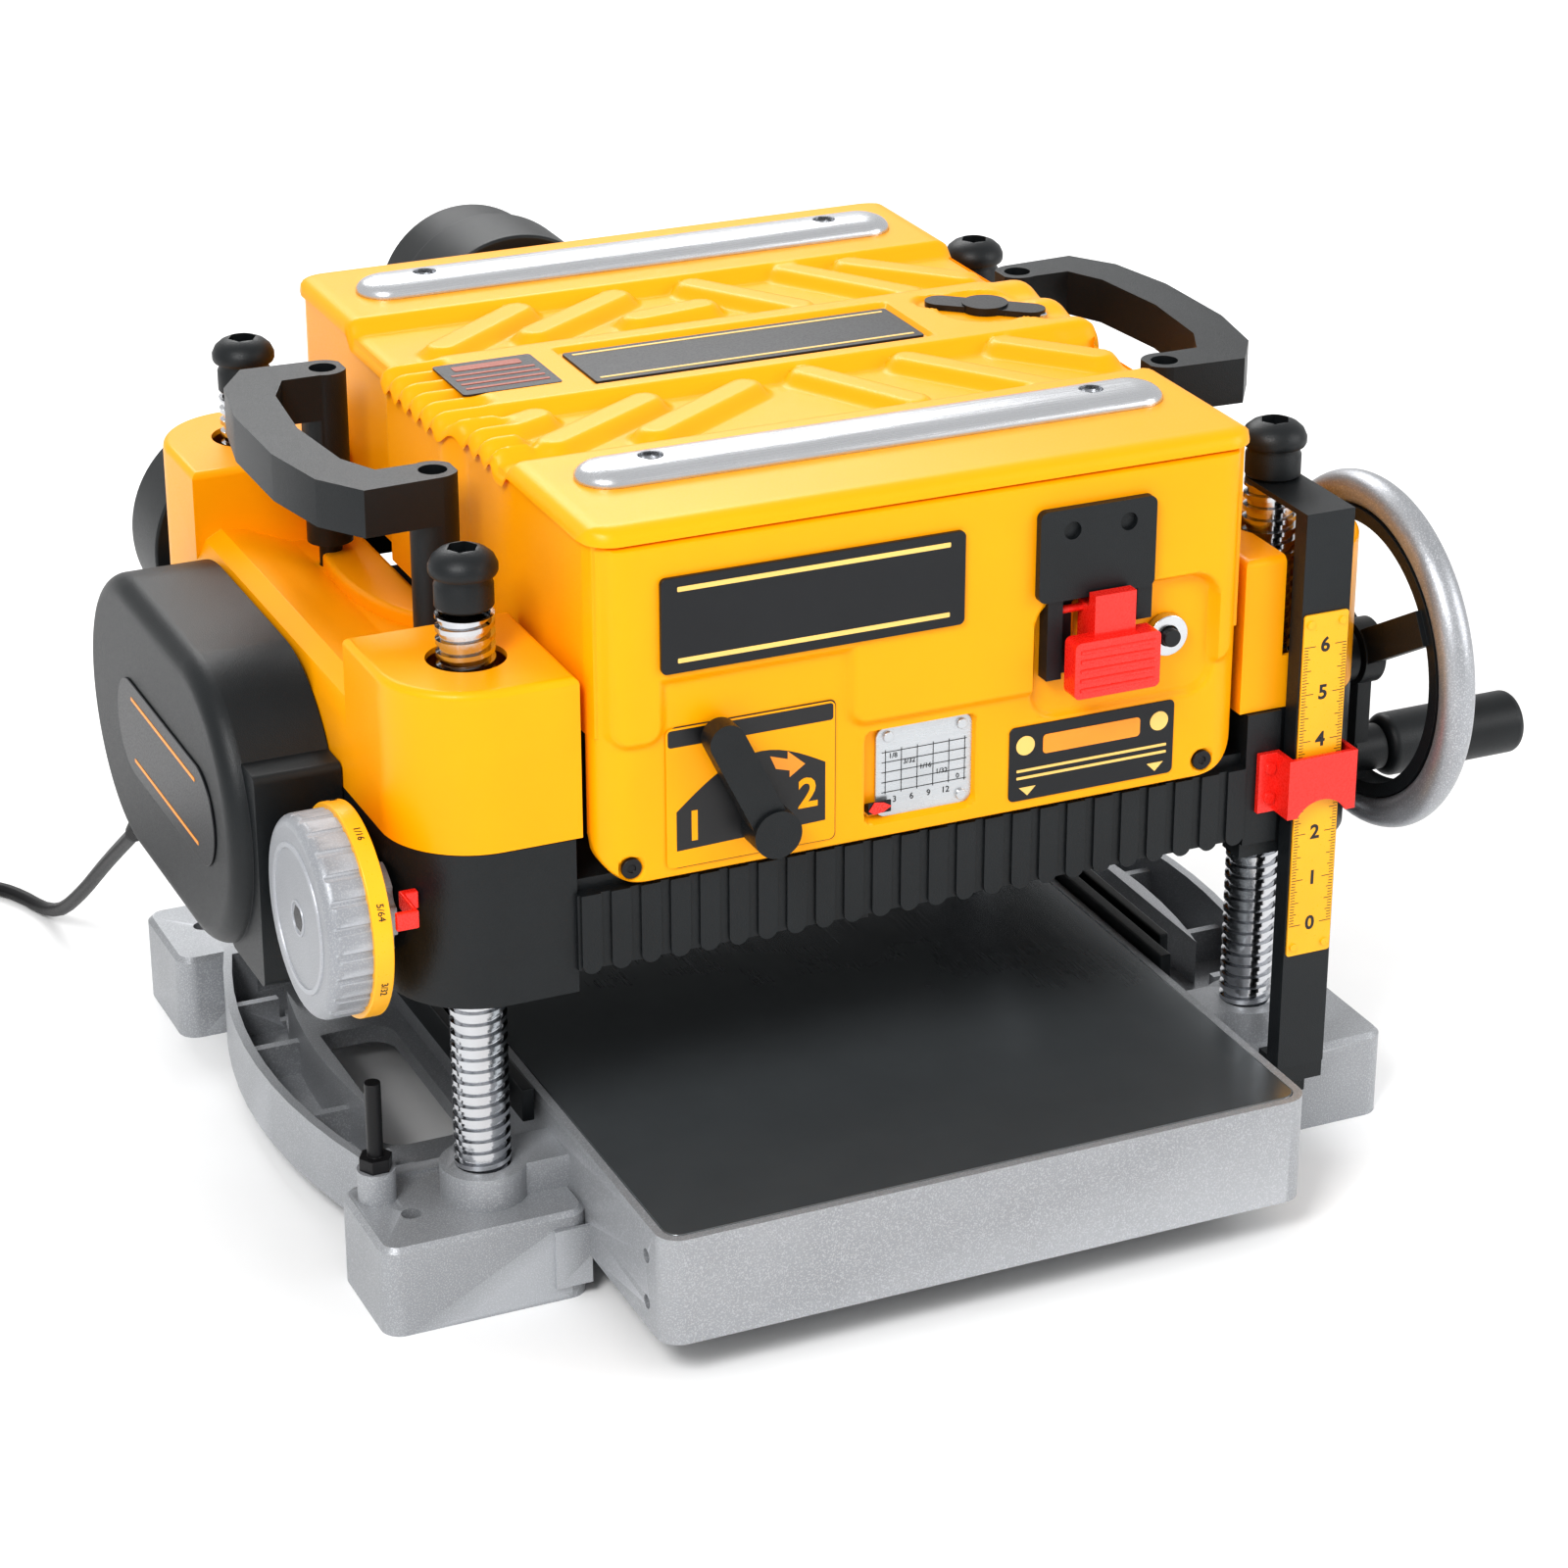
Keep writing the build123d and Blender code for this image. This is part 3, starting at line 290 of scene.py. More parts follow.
def lathe(profile, start, way, steps=48, hollow=False):
    """Closed turned shape: (distance, radius) pairs along a direction from a start point, or a hollow ring."""
    axis = Vector(way).normalized()
    side = axis.orthogonal().normalized()
    other = axis.cross(side)
    start = Vector(start)
    points, faces = [], []
    for along, radius in profile:
        for i in range(steps):
            turn = 2 * pi * i / steps
            points.append(start + axis * along + (side * cos(turn) + other * sin(turn)) * radius)
    for j in range(len(profile) - 1):
        for i in range(steps):
            k = (i + 1) % steps
            faces.append((j * steps + i, j * steps + k, (j + 1) * steps + k, (j + 1) * steps + i))
    last = (len(profile) - 1) * steps
    if hollow:
        faces += [(last + i, last + (i + 1) % steps, (i + 1) % steps, i) for i in range(steps)]
    else:
        faces += [tuple(range(steps)), tuple(last + i for i in range(steps))]
    return points, faces


def joined(parts):
    """Several (points, faces) pairs as one pair."""
    points, faces = [], []
    for some, others in parts:
        shift = len(points)
        points += list(some)
        faces += [tuple(i + shift for i in face) for face in others]
    return points, faces


def prism(outline, out):
    """Closed prism: an outline of 3-D points and the vector to its far face."""
    count = len(outline)
    out = Vector(out)
    points = [Vector(p) for p in outline] + [Vector(p) + out for p in outline]
    faces = [tuple(range(count)), tuple(range(count, 2 * count))]
    faces += [(i, (i + 1) % count, count + (i + 1) % count, count + i) for i in range(count)]
    return points, faces


def rounded_outline(u0, u1, v0, v1, r, steps=5):
    """Points of a rounded rectangle."""
    points = []
    for cu, cv, first in ((u1 - r, v1 - r, 0), (u0 + r, v1 - r, 90), (u0 + r, v0 + r, 180), (u1 - r, v0 + r, 270)):
        for i in range(steps + 1):
            turn = radians(first + 90 * i / steps)
            points.append((cu + r * cos(turn), cv + r * sin(turn)))
    return points


def ring_of(u, v, r, count):
    """Points evenly round a circle, which is a hexagon's outline when there are six."""
    return [(u + r * cos(2 * pi * i / count), v + r * sin(2 * pi * i / count)) for i in range(count)]


SIZE_PER_HEIGHT = 1.4                              # a font's size over the height of its capitals


def text_mesh(text, height, centre, right, up, thick=0.25, bold=0.0):
    """Raised characters as a mesh, standing on centre with the given right and up directions."""
    curve = bpy.data.curves.new("characters", "FONT")
    curve.body = text
    curve.size = height * SIZE_PER_HEIGHT * MM
    curve.align_x = "CENTER"
    curve.align_y = "CENTER"
    curve.extrude = thick * MM
    curve.offset = bold * MM
    curve.resolution_u = 3
    mesh = baked(linked("characters", curve))
    right, up = Vector(right).normalized(), Vector(up).normalized()
    place = Matrix((right, up, right.cross(up))).transposed().to_4x4()
    place.translation = Vector(centre) * MM
    mesh.transform(place)
    return mesh


def merged(name, meshes, body, slot, look=None):
    """Several meshes as one piece."""
    work = bmesh.new()
    for mesh in meshes:
        work.from_mesh(mesh)
    return piece(name, written(work, bpy.data.meshes.new(name)), body, slot, look=look)


def ramp(value, width):
    """0 below -width/2, 1 above width/2, smooth between."""
    t = np.clip(value / width + 0.5, 0, 1)
    return t * t * (3 - 2 * t)


def box_depth(u, v, u0, u1, v0, v1, r):
    """How far inside a rounded rectangle each point lies, negative outside."""
    du = np.abs(u - (u0 + u1) / 2) - (u1 - u0) / 2 + r
    dv = np.abs(v - (v0 + v1) / 2) - (v1 - v0) / 2 + r
    return r - np.hypot(np.maximum(du, 0), np.maximum(dv, 0)) - np.minimum(np.maximum(du, dv), 0)


def capsule_depth(u, v, a, b, r):
    """How far inside a round-ended bar from a to b each point lies."""
    along = (b[0] - a[0], b[1] - a[1])
    t = ((u - a[0]) * along[0] + (v - a[1]) * along[1]) / (along[0] ** 2 + along[1] ** 2)
    t = np.clip(t, 0, 1)
    return r - np.hypot(u - a[0] - t * along[0], v - a[1] - t * along[1])


def grid_solid(surface, skirts):
    """Closed solid from a grid of points and, below it, rings that repeat its border."""
    rows, cols = surface.shape[:2]
    points = surface.reshape(-1, 3).tolist()
    faces = []
    for i in range(rows - 1):
        for j in range(cols - 1):
            a = i * cols + j
            faces.append((a, a + 1, a + cols + 1, a + cols))
    ring = [j for j in range(cols)] + [i * cols + cols - 1 for i in range(1, rows)]
    ring += [(rows - 1) * cols + j for j in range(cols - 2, -1, -1)] + [i * cols for i in range(rows - 2, 0, -1)]
    edge = [points[i] for i in ring]
    last = ring
    for skirt in skirts:
        fresh = list(range(len(points), len(points) + len(ring)))
        points += [skirt(*p) for p in edge]
        for i in range(len(ring)):
            k = (i + 1) % len(ring)
            faces.append((last[i], last[k], fresh[k], fresh[i]))
        last = fresh
    faces.append(tuple(last))
    return points, faces


# ---- top cover: sculpted shell over the head ----
RIBS = [((-165, -67), (-134, -54)), ((-139, -92), (-77, -54)), ((-89, -97), (-24, -55)),
        ((13, -49), (43, -108)), ((68, -50), (118, -122)), ((124, -47), (157, -85)),
        ((-139, 63), (-83, 105)), ((-88, 66), (-28, 105)), ((-31, 66), (7, 72)),
        ((17, 106), (53, 51)), ((74, 111), (115, 48)), ((109, 106), (154, 58))]
RIB_R, RIB_RISE = 10.0, 0.86                       # half width, and height as a share of the cover's step
WRENCH, WRENCH_R = (138.0, 4.0), 25.0              # round recess for the wrench
WRENCH_ENDS = (117, 21.5), (159, -13.5)            # middles of the wrench's ends
SUNK = 2.4                                         # depth of the name plate's and the wrench's recess
COVER_Y0, VALLEY, GRID = -221.5, 396.2, 1.7        # front edge, low level of the top, mesh step
CORNER, CREST = 16.0, 9.0                          # corner radius in plan, and radius of the upper edge
SKIRT_Y0 = -213.0                                  # the skirt stays behind the front panel


def cover_height(x, y):
    """Height of the top: raised ends and middle, slanting ribs, toothed left and wavy right side, recesses."""
    rise = np.maximum(ramp(-114 - y, 9), ramp(y - 113, 9))
    rise = np.maximum(rise, ramp(44 - np.abs(y - 2), 9))
    for a, b in RIBS:
        rise = np.maximum(rise, RIB_RISE * ramp(capsule_depth(x, y, a, b, RIB_R), 8))
    height = VALLEY + (COVER_TOP - VALLEY) * rise
    tooth_pitch, wave_pitch, wave = 15, 34, 3.5
    teeth = 0.5 + 0.5 * np.cos(2 * pi * (y + 95) / tooth_pitch)
    side = ramp(-150 - x, 10) * ramp(72 - np.abs(y + 27), 8)
    height = height * (1 - side) + side * (VALLEY + 1.5 + 5 * teeth)
    side = ramp(x - 158, 10) * ramp(60 - np.abs(y), 8)
    height = height - side * wave * (0.5 - 0.5 * np.cos(2 * pi * y / wave_pitch))
    plate = ramp(box_depth(x, y, -92, 92, -29, 30, 3), 1.6)
    recess = ramp(WRENCH_R - np.hypot(x - WRENCH[0], y - WRENCH[1]), 2)
    recess = np.maximum(recess, ramp(capsule_depth(x, y, *WRENCH_ENDS, 10), 2))
    return np.minimum(height, COVER_TOP - SUNK * np.maximum(plate, recess))


def top_cover():
    """Cover with rounded corners and edges, and a skirt that turns in behind the front panel."""
    cols = int(2 * COVER_X / GRID)
    rows = int((COVER_Y1 - COVER_Y0) / GRID)
    s, t = np.meshgrid(np.linspace(-1, 1, cols), np.linspace(0, 1, rows))
    middle, half = (COVER_Y0 + COVER_Y1) / 2, (COVER_Y1 - COVER_Y0) / 2
    y = middle + (2 * t - 1) * half
    x = s * (COVER_X + 8 * ramp(52 - np.abs(y), 20))
    over = np.clip(np.abs(x) - (COVER_X - CORNER), 0, CORNER)
    drop = CORNER - np.sqrt(CORNER ** 2 - over ** 2)
    y = middle + (2 * t - 1) * (half - drop)
    edge = (1 - np.abs(s)) * COVER_X
    near = np.minimum(np.minimum(edge, COVER_Y1 - drop - y), y - COVER_Y0 - drop)
    inside = np.clip(CREST - near, 0, CREST)
    flatter = 0.8
    z = cover_height(x, y) - (CREST - np.sqrt(CREST ** 2 - inside ** 2)) * flatter
    surface = np.stack([x, y, z], axis=-1)
    lip = PANEL_Z[1] + 1.4

    def under(px, py, pz):
        return px, py, min(lip, pz - 0.1)

    def tucked(level):
        return lambda px, py, _: (px * 0.985, max(py, SKIRT_Y0), level)

    mesh = smooth(mesh_from(*grid_solid(surface, [under, tucked(lip), tucked(COVER_LOW)])), 40)
    piece("top_cover_shell", mesh, "carriage", "yellow_plastic", "top_cover")


# ---- front panel ----
BAND = FACE_Y - BAND_Y                             # how far the band stands out
PANEL_BACK = -204.0
PANEL_SCREWS, SCREW_Z = (-154, 149), 234


def panel_face(x, z):
    """Y of the panel's face: raised band, switch pocket, openings for gauge, switch and reset, screw dimples."""
    band = ramp(box_depth(x, z, -164, 164, 326, 420, 9), 5)
    band = np.maximum(band, ramp(box_depth(x, z, -164, -138, 296, 345, 9), 5))
    band = np.maximum(band, ramp(box_depth(x, z, -43, 164, 287, 345, 9), 5))
    pocket = ramp(box_depth(x, z, 54, 152, 272, 334, 14), 4)
    y = FACE_Y - BAND * band * (1 - pocket)
    y = y + 2.5 * pocket
    floor = FACE_Y + 5.3
    from_reset = np.hypot(x - RESET_X, z - RESET_Z)
    for hole in (box_depth(x, z, -34, 24, 234, 281, 5), box_depth(x, z, 77, 101, 304, 332, 2), 9 - from_reset):
        y = y + (floor - y) * ramp(hole, 1.8)
    y = y + 1.6 * ramp(6.8 - from_reset, 1.2)
    for screw_x in PANEL_SCREWS:
        y = y + 2 * ramp(5.6 - np.hypot(x - screw_x, z - SCREW_Z), 1.4)
    return y


def cut(mesh, cutters):
    """The mesh with the cutter meshes taken away."""
    obj = linked("cut_work", mesh)
    tools = [linked("cut_tool", cutter) for cutter in cutters]
    for tool in tools:
        difference = obj.modifiers.new("cut", "BOOLEAN")
        difference.operation = "DIFFERENCE"
        difference.object = tool
    done = baked(obj)
    for tool in tools:
        bpy.data.objects.remove(tool)
    return done


def top_rails():
    """Domed rails on the cover, each with two sunk screws."""
    dome = [(0, 0.0), (0, 1.3), (0.6, 2.8), (1.8, 4.3), (3.8, 5.7), (6.8, 6.9), (10.8, 7.6), (15.5, 7.9)]
    bore = [(-2, 4.2), (4.4, 4.2), (4.4, 6.0), (7.4, 6.0), (9, 7.6)]
    head = [(0.3, 3.9), (3.4, 3.9), (4.0, 3.3), (4.0, 2.0), (2.2, 1.8)]
    for end in ("front", "rear"):
        node = f"top_rail_{end}"
        (x0, x1), (y0, y1), (z0, z1) = (span(node, axis) for axis in (X, Y, Z))
        r, middle = (y1 - y0) / 2, (y0 + y1) / 2
        points, faces = [], []
        for inset, rise in dome:
            outline = rounded_outline(x0 + inset, x1 - inset, y0 + inset, y1 - inset, r - inset, 12)
            points += [(u, v, z0 + rise * (z1 - z0) / dome[-1][1]) for u, v in outline]
        count = len(points) // len(dome)
        for j in range(len(dome) - 1):
            for i in range(count):
                k = (i + 1) % count
                faces.append((j * count + i, j * count + k, (j + 1) * count + k, (j + 1) * count + i))
        faces += [tuple(range(count)), tuple((len(dome) - 1) * count + i for i in range(count))]
        places = [(x, middle, z0) for x in (-115.5, 115.5)]
        holes = [mesh_from(*lathe(bore, place, UP, 40)) for place in places]
        screws = [mesh_from(*lathe(head, place, UP, 24)) for place in places]
        rail = cut(mesh_from(points, faces), holes)
        piece(f"rail_{end}", smooth(rail, 30), "carriage", "rail_aluminium", node)
        merged(f"rail_screws_{end}", screws, "carriage", "black_steel")


def front_panel():
    """Panel with round lower corners whose sides wrap backwards and whose rim is rounded."""
    wrap, corner, rim_r, step = 18.0, 24.0, 2.0, 1.25
    cols = int(2 * PANEL_X / step)
    rows = int((PANEL_Z[1] - PANEL_Z[0]) / step)
    s, t = np.meshgrid(np.linspace(-1, 1, cols), np.linspace(0, 1, rows))
    x = s * PANEL_X
    over = np.clip(np.abs(x) - (PANEL_X - corner), 0, corner)
    low = PANEL_Z[0] + corner - np.sqrt(corner ** 2 - over ** 2)
    z = low + t * (PANEL_Z[1] - low)
    past = np.clip(np.abs(x) - (PANEL_X - wrap), 0, wrap)
    y = panel_face(x, z) + 0.75 * (wrap - np.sqrt(wrap ** 2 - past ** 2))
    rim = np.clip(rim_r - np.minimum(z - low, PANEL_Z[1] - z), 0, rim_r)
    y = y + rim_r - np.sqrt(rim_r ** 2 - rim ** 2)
    surface = np.stack([x, y, z], axis=-1)
    mesh = smooth(mesh_from(*grid_solid(surface, [lambda px, _, pz: (px, PANEL_BACK, pz)])), 40)
    piece("front_panel_shell", mesh, "carriage", "yellow_plastic", "front_panel")


# ---- threaded posts ----
def threaded(z0, z1, pitch=INCH / 4, around=40, phases=8):
    """Screw thread as one skin: rows climb by one pitch in a turn and meet themselves."""
    crest, deep = (0, 0, 0, 0, 1, 1, 1, 1), 1.9
    rows = int((z1 - z0) / pitch * phases) + 2 * phases
    points, faces = [], []
    for j in range(rows):
        for i in range(around):
            turn = i / around
            z = min(z1, max(z0, z0 + (j / phases + turn - 1) * pitch))
            r = POST_R - deep * (1 - crest[j % phases])
            points.append((r * cos(2 * pi * turn), r * sin(2 * pi * turn), z))
    for j in range(rows - 1):
        for i in range(around):
            if i < around - 1:
                here, above = j * around + i, (j + 1) * around + i
                faces.append((here, here + 1, above + 1, above))
            elif j + 1 + phases < rows:
                next_turn = (j + phases) * around
                faces.append((j * around + i, next_turn, next_turn + around, (j + 1) * around + i))
    return points, faces


def posts():
    points, faces = threaded(POST_Z0, SHOULDER)
    for key, (px, py) in POST_AT.items():
        mesh = mesh_from([(x + px, y + py, z) for x, y, z in points], faces)
        work = bmesh.new()
        work.from_mesh(mesh)
        bmesh.ops.dissolve_degenerate(work, edges=work.edges, dist=1e-6)
        bmesh.ops.holes_fill(work, edges=work.edges)
        bmesh.ops.recalc_face_normals(work, faces=work.faces)
        piece(f"threaded_post_{key}", smooth(written(work, mesh), 60), "base", "thread_steel", f"post_{key}")


def post_caps():
    """Button heads with a hexagon socket on the four posts."""
    socket_r, deep = 7.5, 6.0
    profile = [(3.4, 8.3), (3.4, 13.2), (4.4, 14.0), (14.5, 14.0), (16.5, 13.0), (18.6, 13.0), (19.6, 15.6),
               (21.0, 16.3), (24.0, 16.3), (27.6, 14.6), (30.2, 11.6), (31.6, 8.4), (CAP_TOP - SHOULDER, 7.0),
               (CAP_TOP - SHOULDER, 0.4)]
    for key, (px, py) in POST_AT.items():
        body = mesh_from(*lathe(profile, (px, py, SHOULDER), UP, 56))
        socket = [(u, v, CAP_TOP - deep) for u, v in ring_of(px, py, socket_r, 6)]
        body = cut(body, [mesh_from(*prism(socket, (0, 0, 2 * deep)))])
        nodes = ["post_caps"] if key == "fl" else []
        piece(f"post_cap_{key}", smooth(body, 35), "base", "black_plastic", *nodes)


# ---- power cord: relief, hanging stretch, stretch on the bench, coil and plug ----
CORD_R = 4.0
CORD_POINTS = [(-298, 132.8, 129.6), (-298, 190.2, 89.7), (-300.2, 248, 43.8), (-303, 306, 4.2),
               (-316, 346, 4.2), (-331, 362.1, 4.2), (-346, 378.2, 4.2), (-384, 393.6, 4.2)]
COIL_X, COIL_Y, PER_TURN = -420.0, 339.75, 24
LOW, HIGH, LAYER = 4.2, 12.2, 8.0                  # heights of the lower and upper turns, and their step
LEAN = (0, 0.82, -0.57)                            # the way the cord leaves the cover
RELIEF = 46.0                                      # length of the tapered relief
BLADES_Y = 257.5                                   # the plug's blades lie in front of this


def coil_points():
    """Two and a half turns inwards on the bench, then two and three quarters on top of them."""
    points = []

    def add(angle, radius, z):
        turn = radians(angle)
        points.append((COIL_X + radius * cos(turn), COIL_Y + radius * sin(turn), z))

    def easing(f):
        return sqrt(1 - (1 - 2 * f) ** 2) if f < 0.5 else 1.0

    for i in range(int(2.5 * PER_TURN)):
        add(90 + 360 * i / PER_TURN, 55.25 - 8.1 * i / PER_TURN, LOW)
    for i in range(PER_TURN):
        f = i / PER_TURN
        add(270 + 360 * f, 35, LOW + LAYER * min(1, 2 * f))
    for i in range(PER_TURN):
        f = i / PER_TURN
        add(270 + 360 * f, 35 + LAYER * easing(f), HIGH)
    for i in range(int(0.75 * PER_TURN) + 1):
        f = i / PER_TURN
        add(270 + 360 * f, 43 + LAYER * easing(f), HIGH)
    return points


def spline_points(controls):
    """Points along the smooth curve that a list of control points gives."""
    curve = bpy.data.curves.new("cord_line", "CURVE")
    curve.dimensions = "3D"
    spline = curve.splines.new("NURBS")
    spline.points.add(len(controls) - 1)
    for point, (x, y, z) in zip(spline.points, controls):
        point.co = (x * MM, y * MM, z * MM, 1)
    spline.order_u = 3
    spline.use_endpoint_u = True
    spline.resolution_u = 4
    return [v.co.copy() for v in baked(linked("cord_line", curve)).vertices]


def tube(line, radius, around=16):
    """Closed tube of one radius along a line of points in metres."""
    points, faces = [], []
    side = (line[1] - line[0]).orthogonal().normalized()
    for i, here in enumerate(line):
        way = (line[min(i + 1, len(line) - 1)] - line[max(i - 1, 0)]).normalized()
        side = (side - way * side.dot(way)).normalized()
        other = way.cross(side)
        for k in range(around):
            turn = 2 * pi * k / around
            points.append((here + (side * cos(turn) + other * sin(turn)) * radius * MM) / MM)
    for i in range(len(line) - 1):
        for k in range(around):
            m = (k + 1) % around
            faces.append((i * around + k, i * around + m, (i + 1) * around + m, (i + 1) * around + k))
    faces.append(tuple(range(around)))
    faces.append(tuple((len(line) - 1) * around + k for k in range(around)))
    return points, faces


def power_cord():
    """Cord, tapered relief and plug. The cord rides on no body; the relief rides on the carriage."""
    line = spline_points(CORD_POINTS + coil_points() + [(COIL_X - 51, COIL_Y - 8.75, HIGH)])
    cord = piece("power_cord", smooth(mesh_from(*tube(line, CORD_R)), 60), None, "cord_black",
                 "cord_drop", "cord_floor", "cord_coil")
    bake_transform(cord)
    plug = refine("plug", 0.8)
    plug.data.materials.append(FINISHES["bright_steel"])
    for face in plug.data.polygons:
        if face.center.y < BLADES_Y * MM:
            face.material_index = 1
    lean = Vector(LEAN).normalized()
    root = Vector(CORD_POINTS[0]) - lean * RELIEF
    ribs = [(0, 4.0), (0, 8.6), (8, 8.6)]
    for i in range(7):
        at, r = 9 + 4.6 * i, 8.0 - 0.42 * i
        ribs += [(at, r - 1.3), (at + 1.5, r - 1.3), (at + 2.1, r), (at + 3.9, r), (at + 4.5, r - 1.3)]
    ribs += [(RELIEF, 4.6), (RELIEF, 3.0)]
    relief = piece("cord_relief", smooth(mesh_from(*lathe(ribs, root, lean)), 50), "carriage",
                   "rubber_black", "strain_relief")


# ---- everything else keeps its CAD shape with rounded edges, as wide as stated here ----
EDGES = {"base_casting": 1.6, "platen": 0.8, "side_bars": 0.8, "ruler_bracket": 0.8,
         "ruler_scale": 0.25, "carriage_frame": 1.2, "shroud_left": 3.0, "shroud_right": 3.0,
         "label_plates": 0.5, "gauge_scale": 0.3, "gauge_pointer": 0.3, "panel_screws": 0.4,
         "speed_lever": 2.5, "switch_bezel": 1.0, "switch_paddle": 2.0, "breaker_collar": 0.6,
         "reset_button": 0.8, "handle_left": 4.5, "handle_right": 4.5, "blade_wrench": 0.5,
         "motor_cover": 1.5, "crank_wheel": 1.5, "crank_rim": 1.0, "crank_grip": 1.0,
         "depth_knob": 1.0, "depth_ring": 0.8, "knob_pointer": 0.8, "ruler_pointer": 0.8,
         "chip_chute": 2.0}
POSTS = [f"post_{key}" for key in POST_AT]
DEFAULT_EDGE, WIDE_EDGE = 0.5, 1.4
SPECIAL = ["top_cover", "front_panel", "top_rail_front", "top_rail_rear", "post_caps", "strain_relief",
           "cord_drop", "cord_floor", "cord_coil", "plug", *POSTS]


def remaining_nodes():
    for node in sorted(frame["nodes"]):
        if node not in SPECIAL:
            width = EDGES.get(node, DEFAULT_EDGE)
            refine(node, width, 3 if width > WIDE_EDGE else 2)


# ---- labels and marks ----
def front_mark(outlines, y, out=0.25):
    """Flat shapes on the front, from (x, z) outlines."""
    return mesh_from(*joined([prism([(u, y, v) for u, v in shape], (0, -out, 0)) for shape in outlines]))


def strip(u0, u1, v0, v1):
    return [(u0, v0), (u1, v0), (u1, v1), (u0, v1)]


def ruler_marks():
    """Sixteenths of an inch along both edges, and the inches' numbers between them."""
    y = span("ruler_scale", Y)[0] + 1.0
    inches, parts, half, from_middle = 6, 16, 0.16, 12.0
    strips = []
    for i in range(inches * parts + 1):
        z = RULER_Z0 + i * INCH / parts
        size = 6.5 if i % 16 == 0 else 4.6 if i % 8 == 0 else 3.6 if i % 4 == 0 else 2.4
        for side in (-1, 1):
            ends = sorted((POST_X + side * from_middle, POST_X + side * (from_middle - size)))
            strips.append(strip(*ends, z - half, z + half))
    meshes = [front_mark(strips, y, 0.12)]
    for i in range(inches + 1):
        meshes.append(text_mesh(str(i), 7.6, (POST_X, y, RULER_Z0 + i * INCH), RIGHT, UP, 0.12, bold=0.28))
    merged("ruler_marks", meshes, "base", "ruler_yellow", PRINTS["ink"])


def badge_marks():
    """Two lines across the plate on the front panel."""
    y = span("label_plates", Y)[0]
    lines = [rounded_outline(-132, 6, z, z + 2.4, 0.6) for z in (371, 336)]
    merged("badge_lines", [front_mark(lines, y + 0.1)], "carriage", "dark_plate", PRINTS["cream"])


def speed_marks():
    """Yellow sheet behind the speed lever, with dark fields, two digits and an arrow."""
    y = FACE_Y - 0.7
    x0, x1, z0, z1 = -136.5, -50.5, 230.5, 301.5
    sheet = front_mark([rounded_outline(x0, x1, z0, z1, 3)], y, 0.3)
    merged("speed_sheet", [sheet], "carriage", "dark_plate", FINISHES["yellow_plastic"])
    dome = [(x0 + 5 + 76 * i / 16, 259 + 0.75 * i + 17 * sin(pi * i / 16)) for i in range(17)]
    dome = [(x0 + 5, 239)] + dome + [(x0 + 81, 241)]
    dark = [rounded_outline(x0 + 1, x1 - 1, 292, 300.5, 1.5), dome]
    merged("speed_fields", [front_mark(dark, y - 0.3, 0.15)], "carriage", "dark_plate", PRINTS["ink"])
    digits = [text_mesh("1", 15, (x0 + 14, y - 0.45, 250), RIGHT, UP, 0.12, bold=0.5),
              text_mesh("2", 15, (x1 - 14, y - 0.45, 256), RIGHT, UP, 0.12, bold=0.5)]
    merged("speed_digits", digits, "carriage", "dark_plate", FINISHES["yellow_plastic"])
    arrow = [(-84, 279), (-75, 276), (-75, 280), (-66, 272), (-74, 266.5), (-74, 270), (-81, 272)]
    merged("speed_arrow", [front_mark([arrow], y - 0.45, 0.12)], "carriage", "dark_plate", PRINTS["orange"])


def notice_marks():
    """Blank notice: an orange field, two bars, two discs and two triangles."""
    y = FACE_Y - 0.8
    field = rounded_outline(60, 113, 254, 264, 2)
    merged("notice_panel", [front_mark([field], y)], "carriage", "dark_plate", PRINTS["orange"])
    bars = [rounded_outline(46, 128, z, z + 1.4, 0.4) for z in (246.2, 242.4)]
    bars += [ring_of(u, 260, 5, 24) for u in (50.5, 123.5)]
    bars += [[(u - 4.5, 238), (u + 4.5, 238), (u, 233.5)] for u in (52, 122)]
    merged("notice_marks", [front_mark(bars, y)], "carriage", "dark_plate", PRINTS["cream"])


def gauge_marks():
    """Grid of the removal gauge, with depths stepping down across it and board widths below."""
    y, half = span("gauge_scale", Y)[0] + 1.4, 0.15
    rows = [247 + 5.2 * i for i in range(5)]
    columns = [-22 + 8.4 * i for i in range(6)]
    lines = [strip(-24, 21, z - half, z + half) for z in rows]
    lines += [strip(x - half, x + half, 246, 269) for x in columns]
    meshes = [front_mark(lines, y, 0.1)]
    for i, word in enumerate(("1/8", "3/32", "1/16", "1/32", "0")):
        meshes.append(text_mesh(word, 2.6, (-18 + 8.6 * i, y, 265.5 - 4.2 * i), RIGHT, UP, 0.1))
    for i, word in enumerate(("3", "6", "9", "12")):
        meshes.append(text_mesh(word, 3.2, (-17 + 9 * i, y, 242.6), RIGHT, UP, 0.1))
    merged("gauge_marks", meshes, "carriage", "silver_plate", PRINTS["ink"])


def ring_marks():
    """Fractions round the yellow ring of the depth knob."""
    x = sum(span("depth_ring", X)) / 2
    meshes = []
    for i, word in enumerate(("0", "1/64", "1/32", "3/64", "1/16", "5/64", "3/32", "7/64")):
        turn = radians(45 * i - 67)
        out = Vector((0, cos(turn), sin(turn)))
        along = Vector((0, -sin(turn), cos(turn)))
        centre = Vector((x, KNOB_Y, KNOB_Z)) + out * (RING_R + 0.02)
        meshes.append(text_mesh(word, 3.4, centre, along, out.cross(along), 0.12))
    merged("ring_marks", meshes, "turret", "ruler_yellow", PRINTS["ink"])


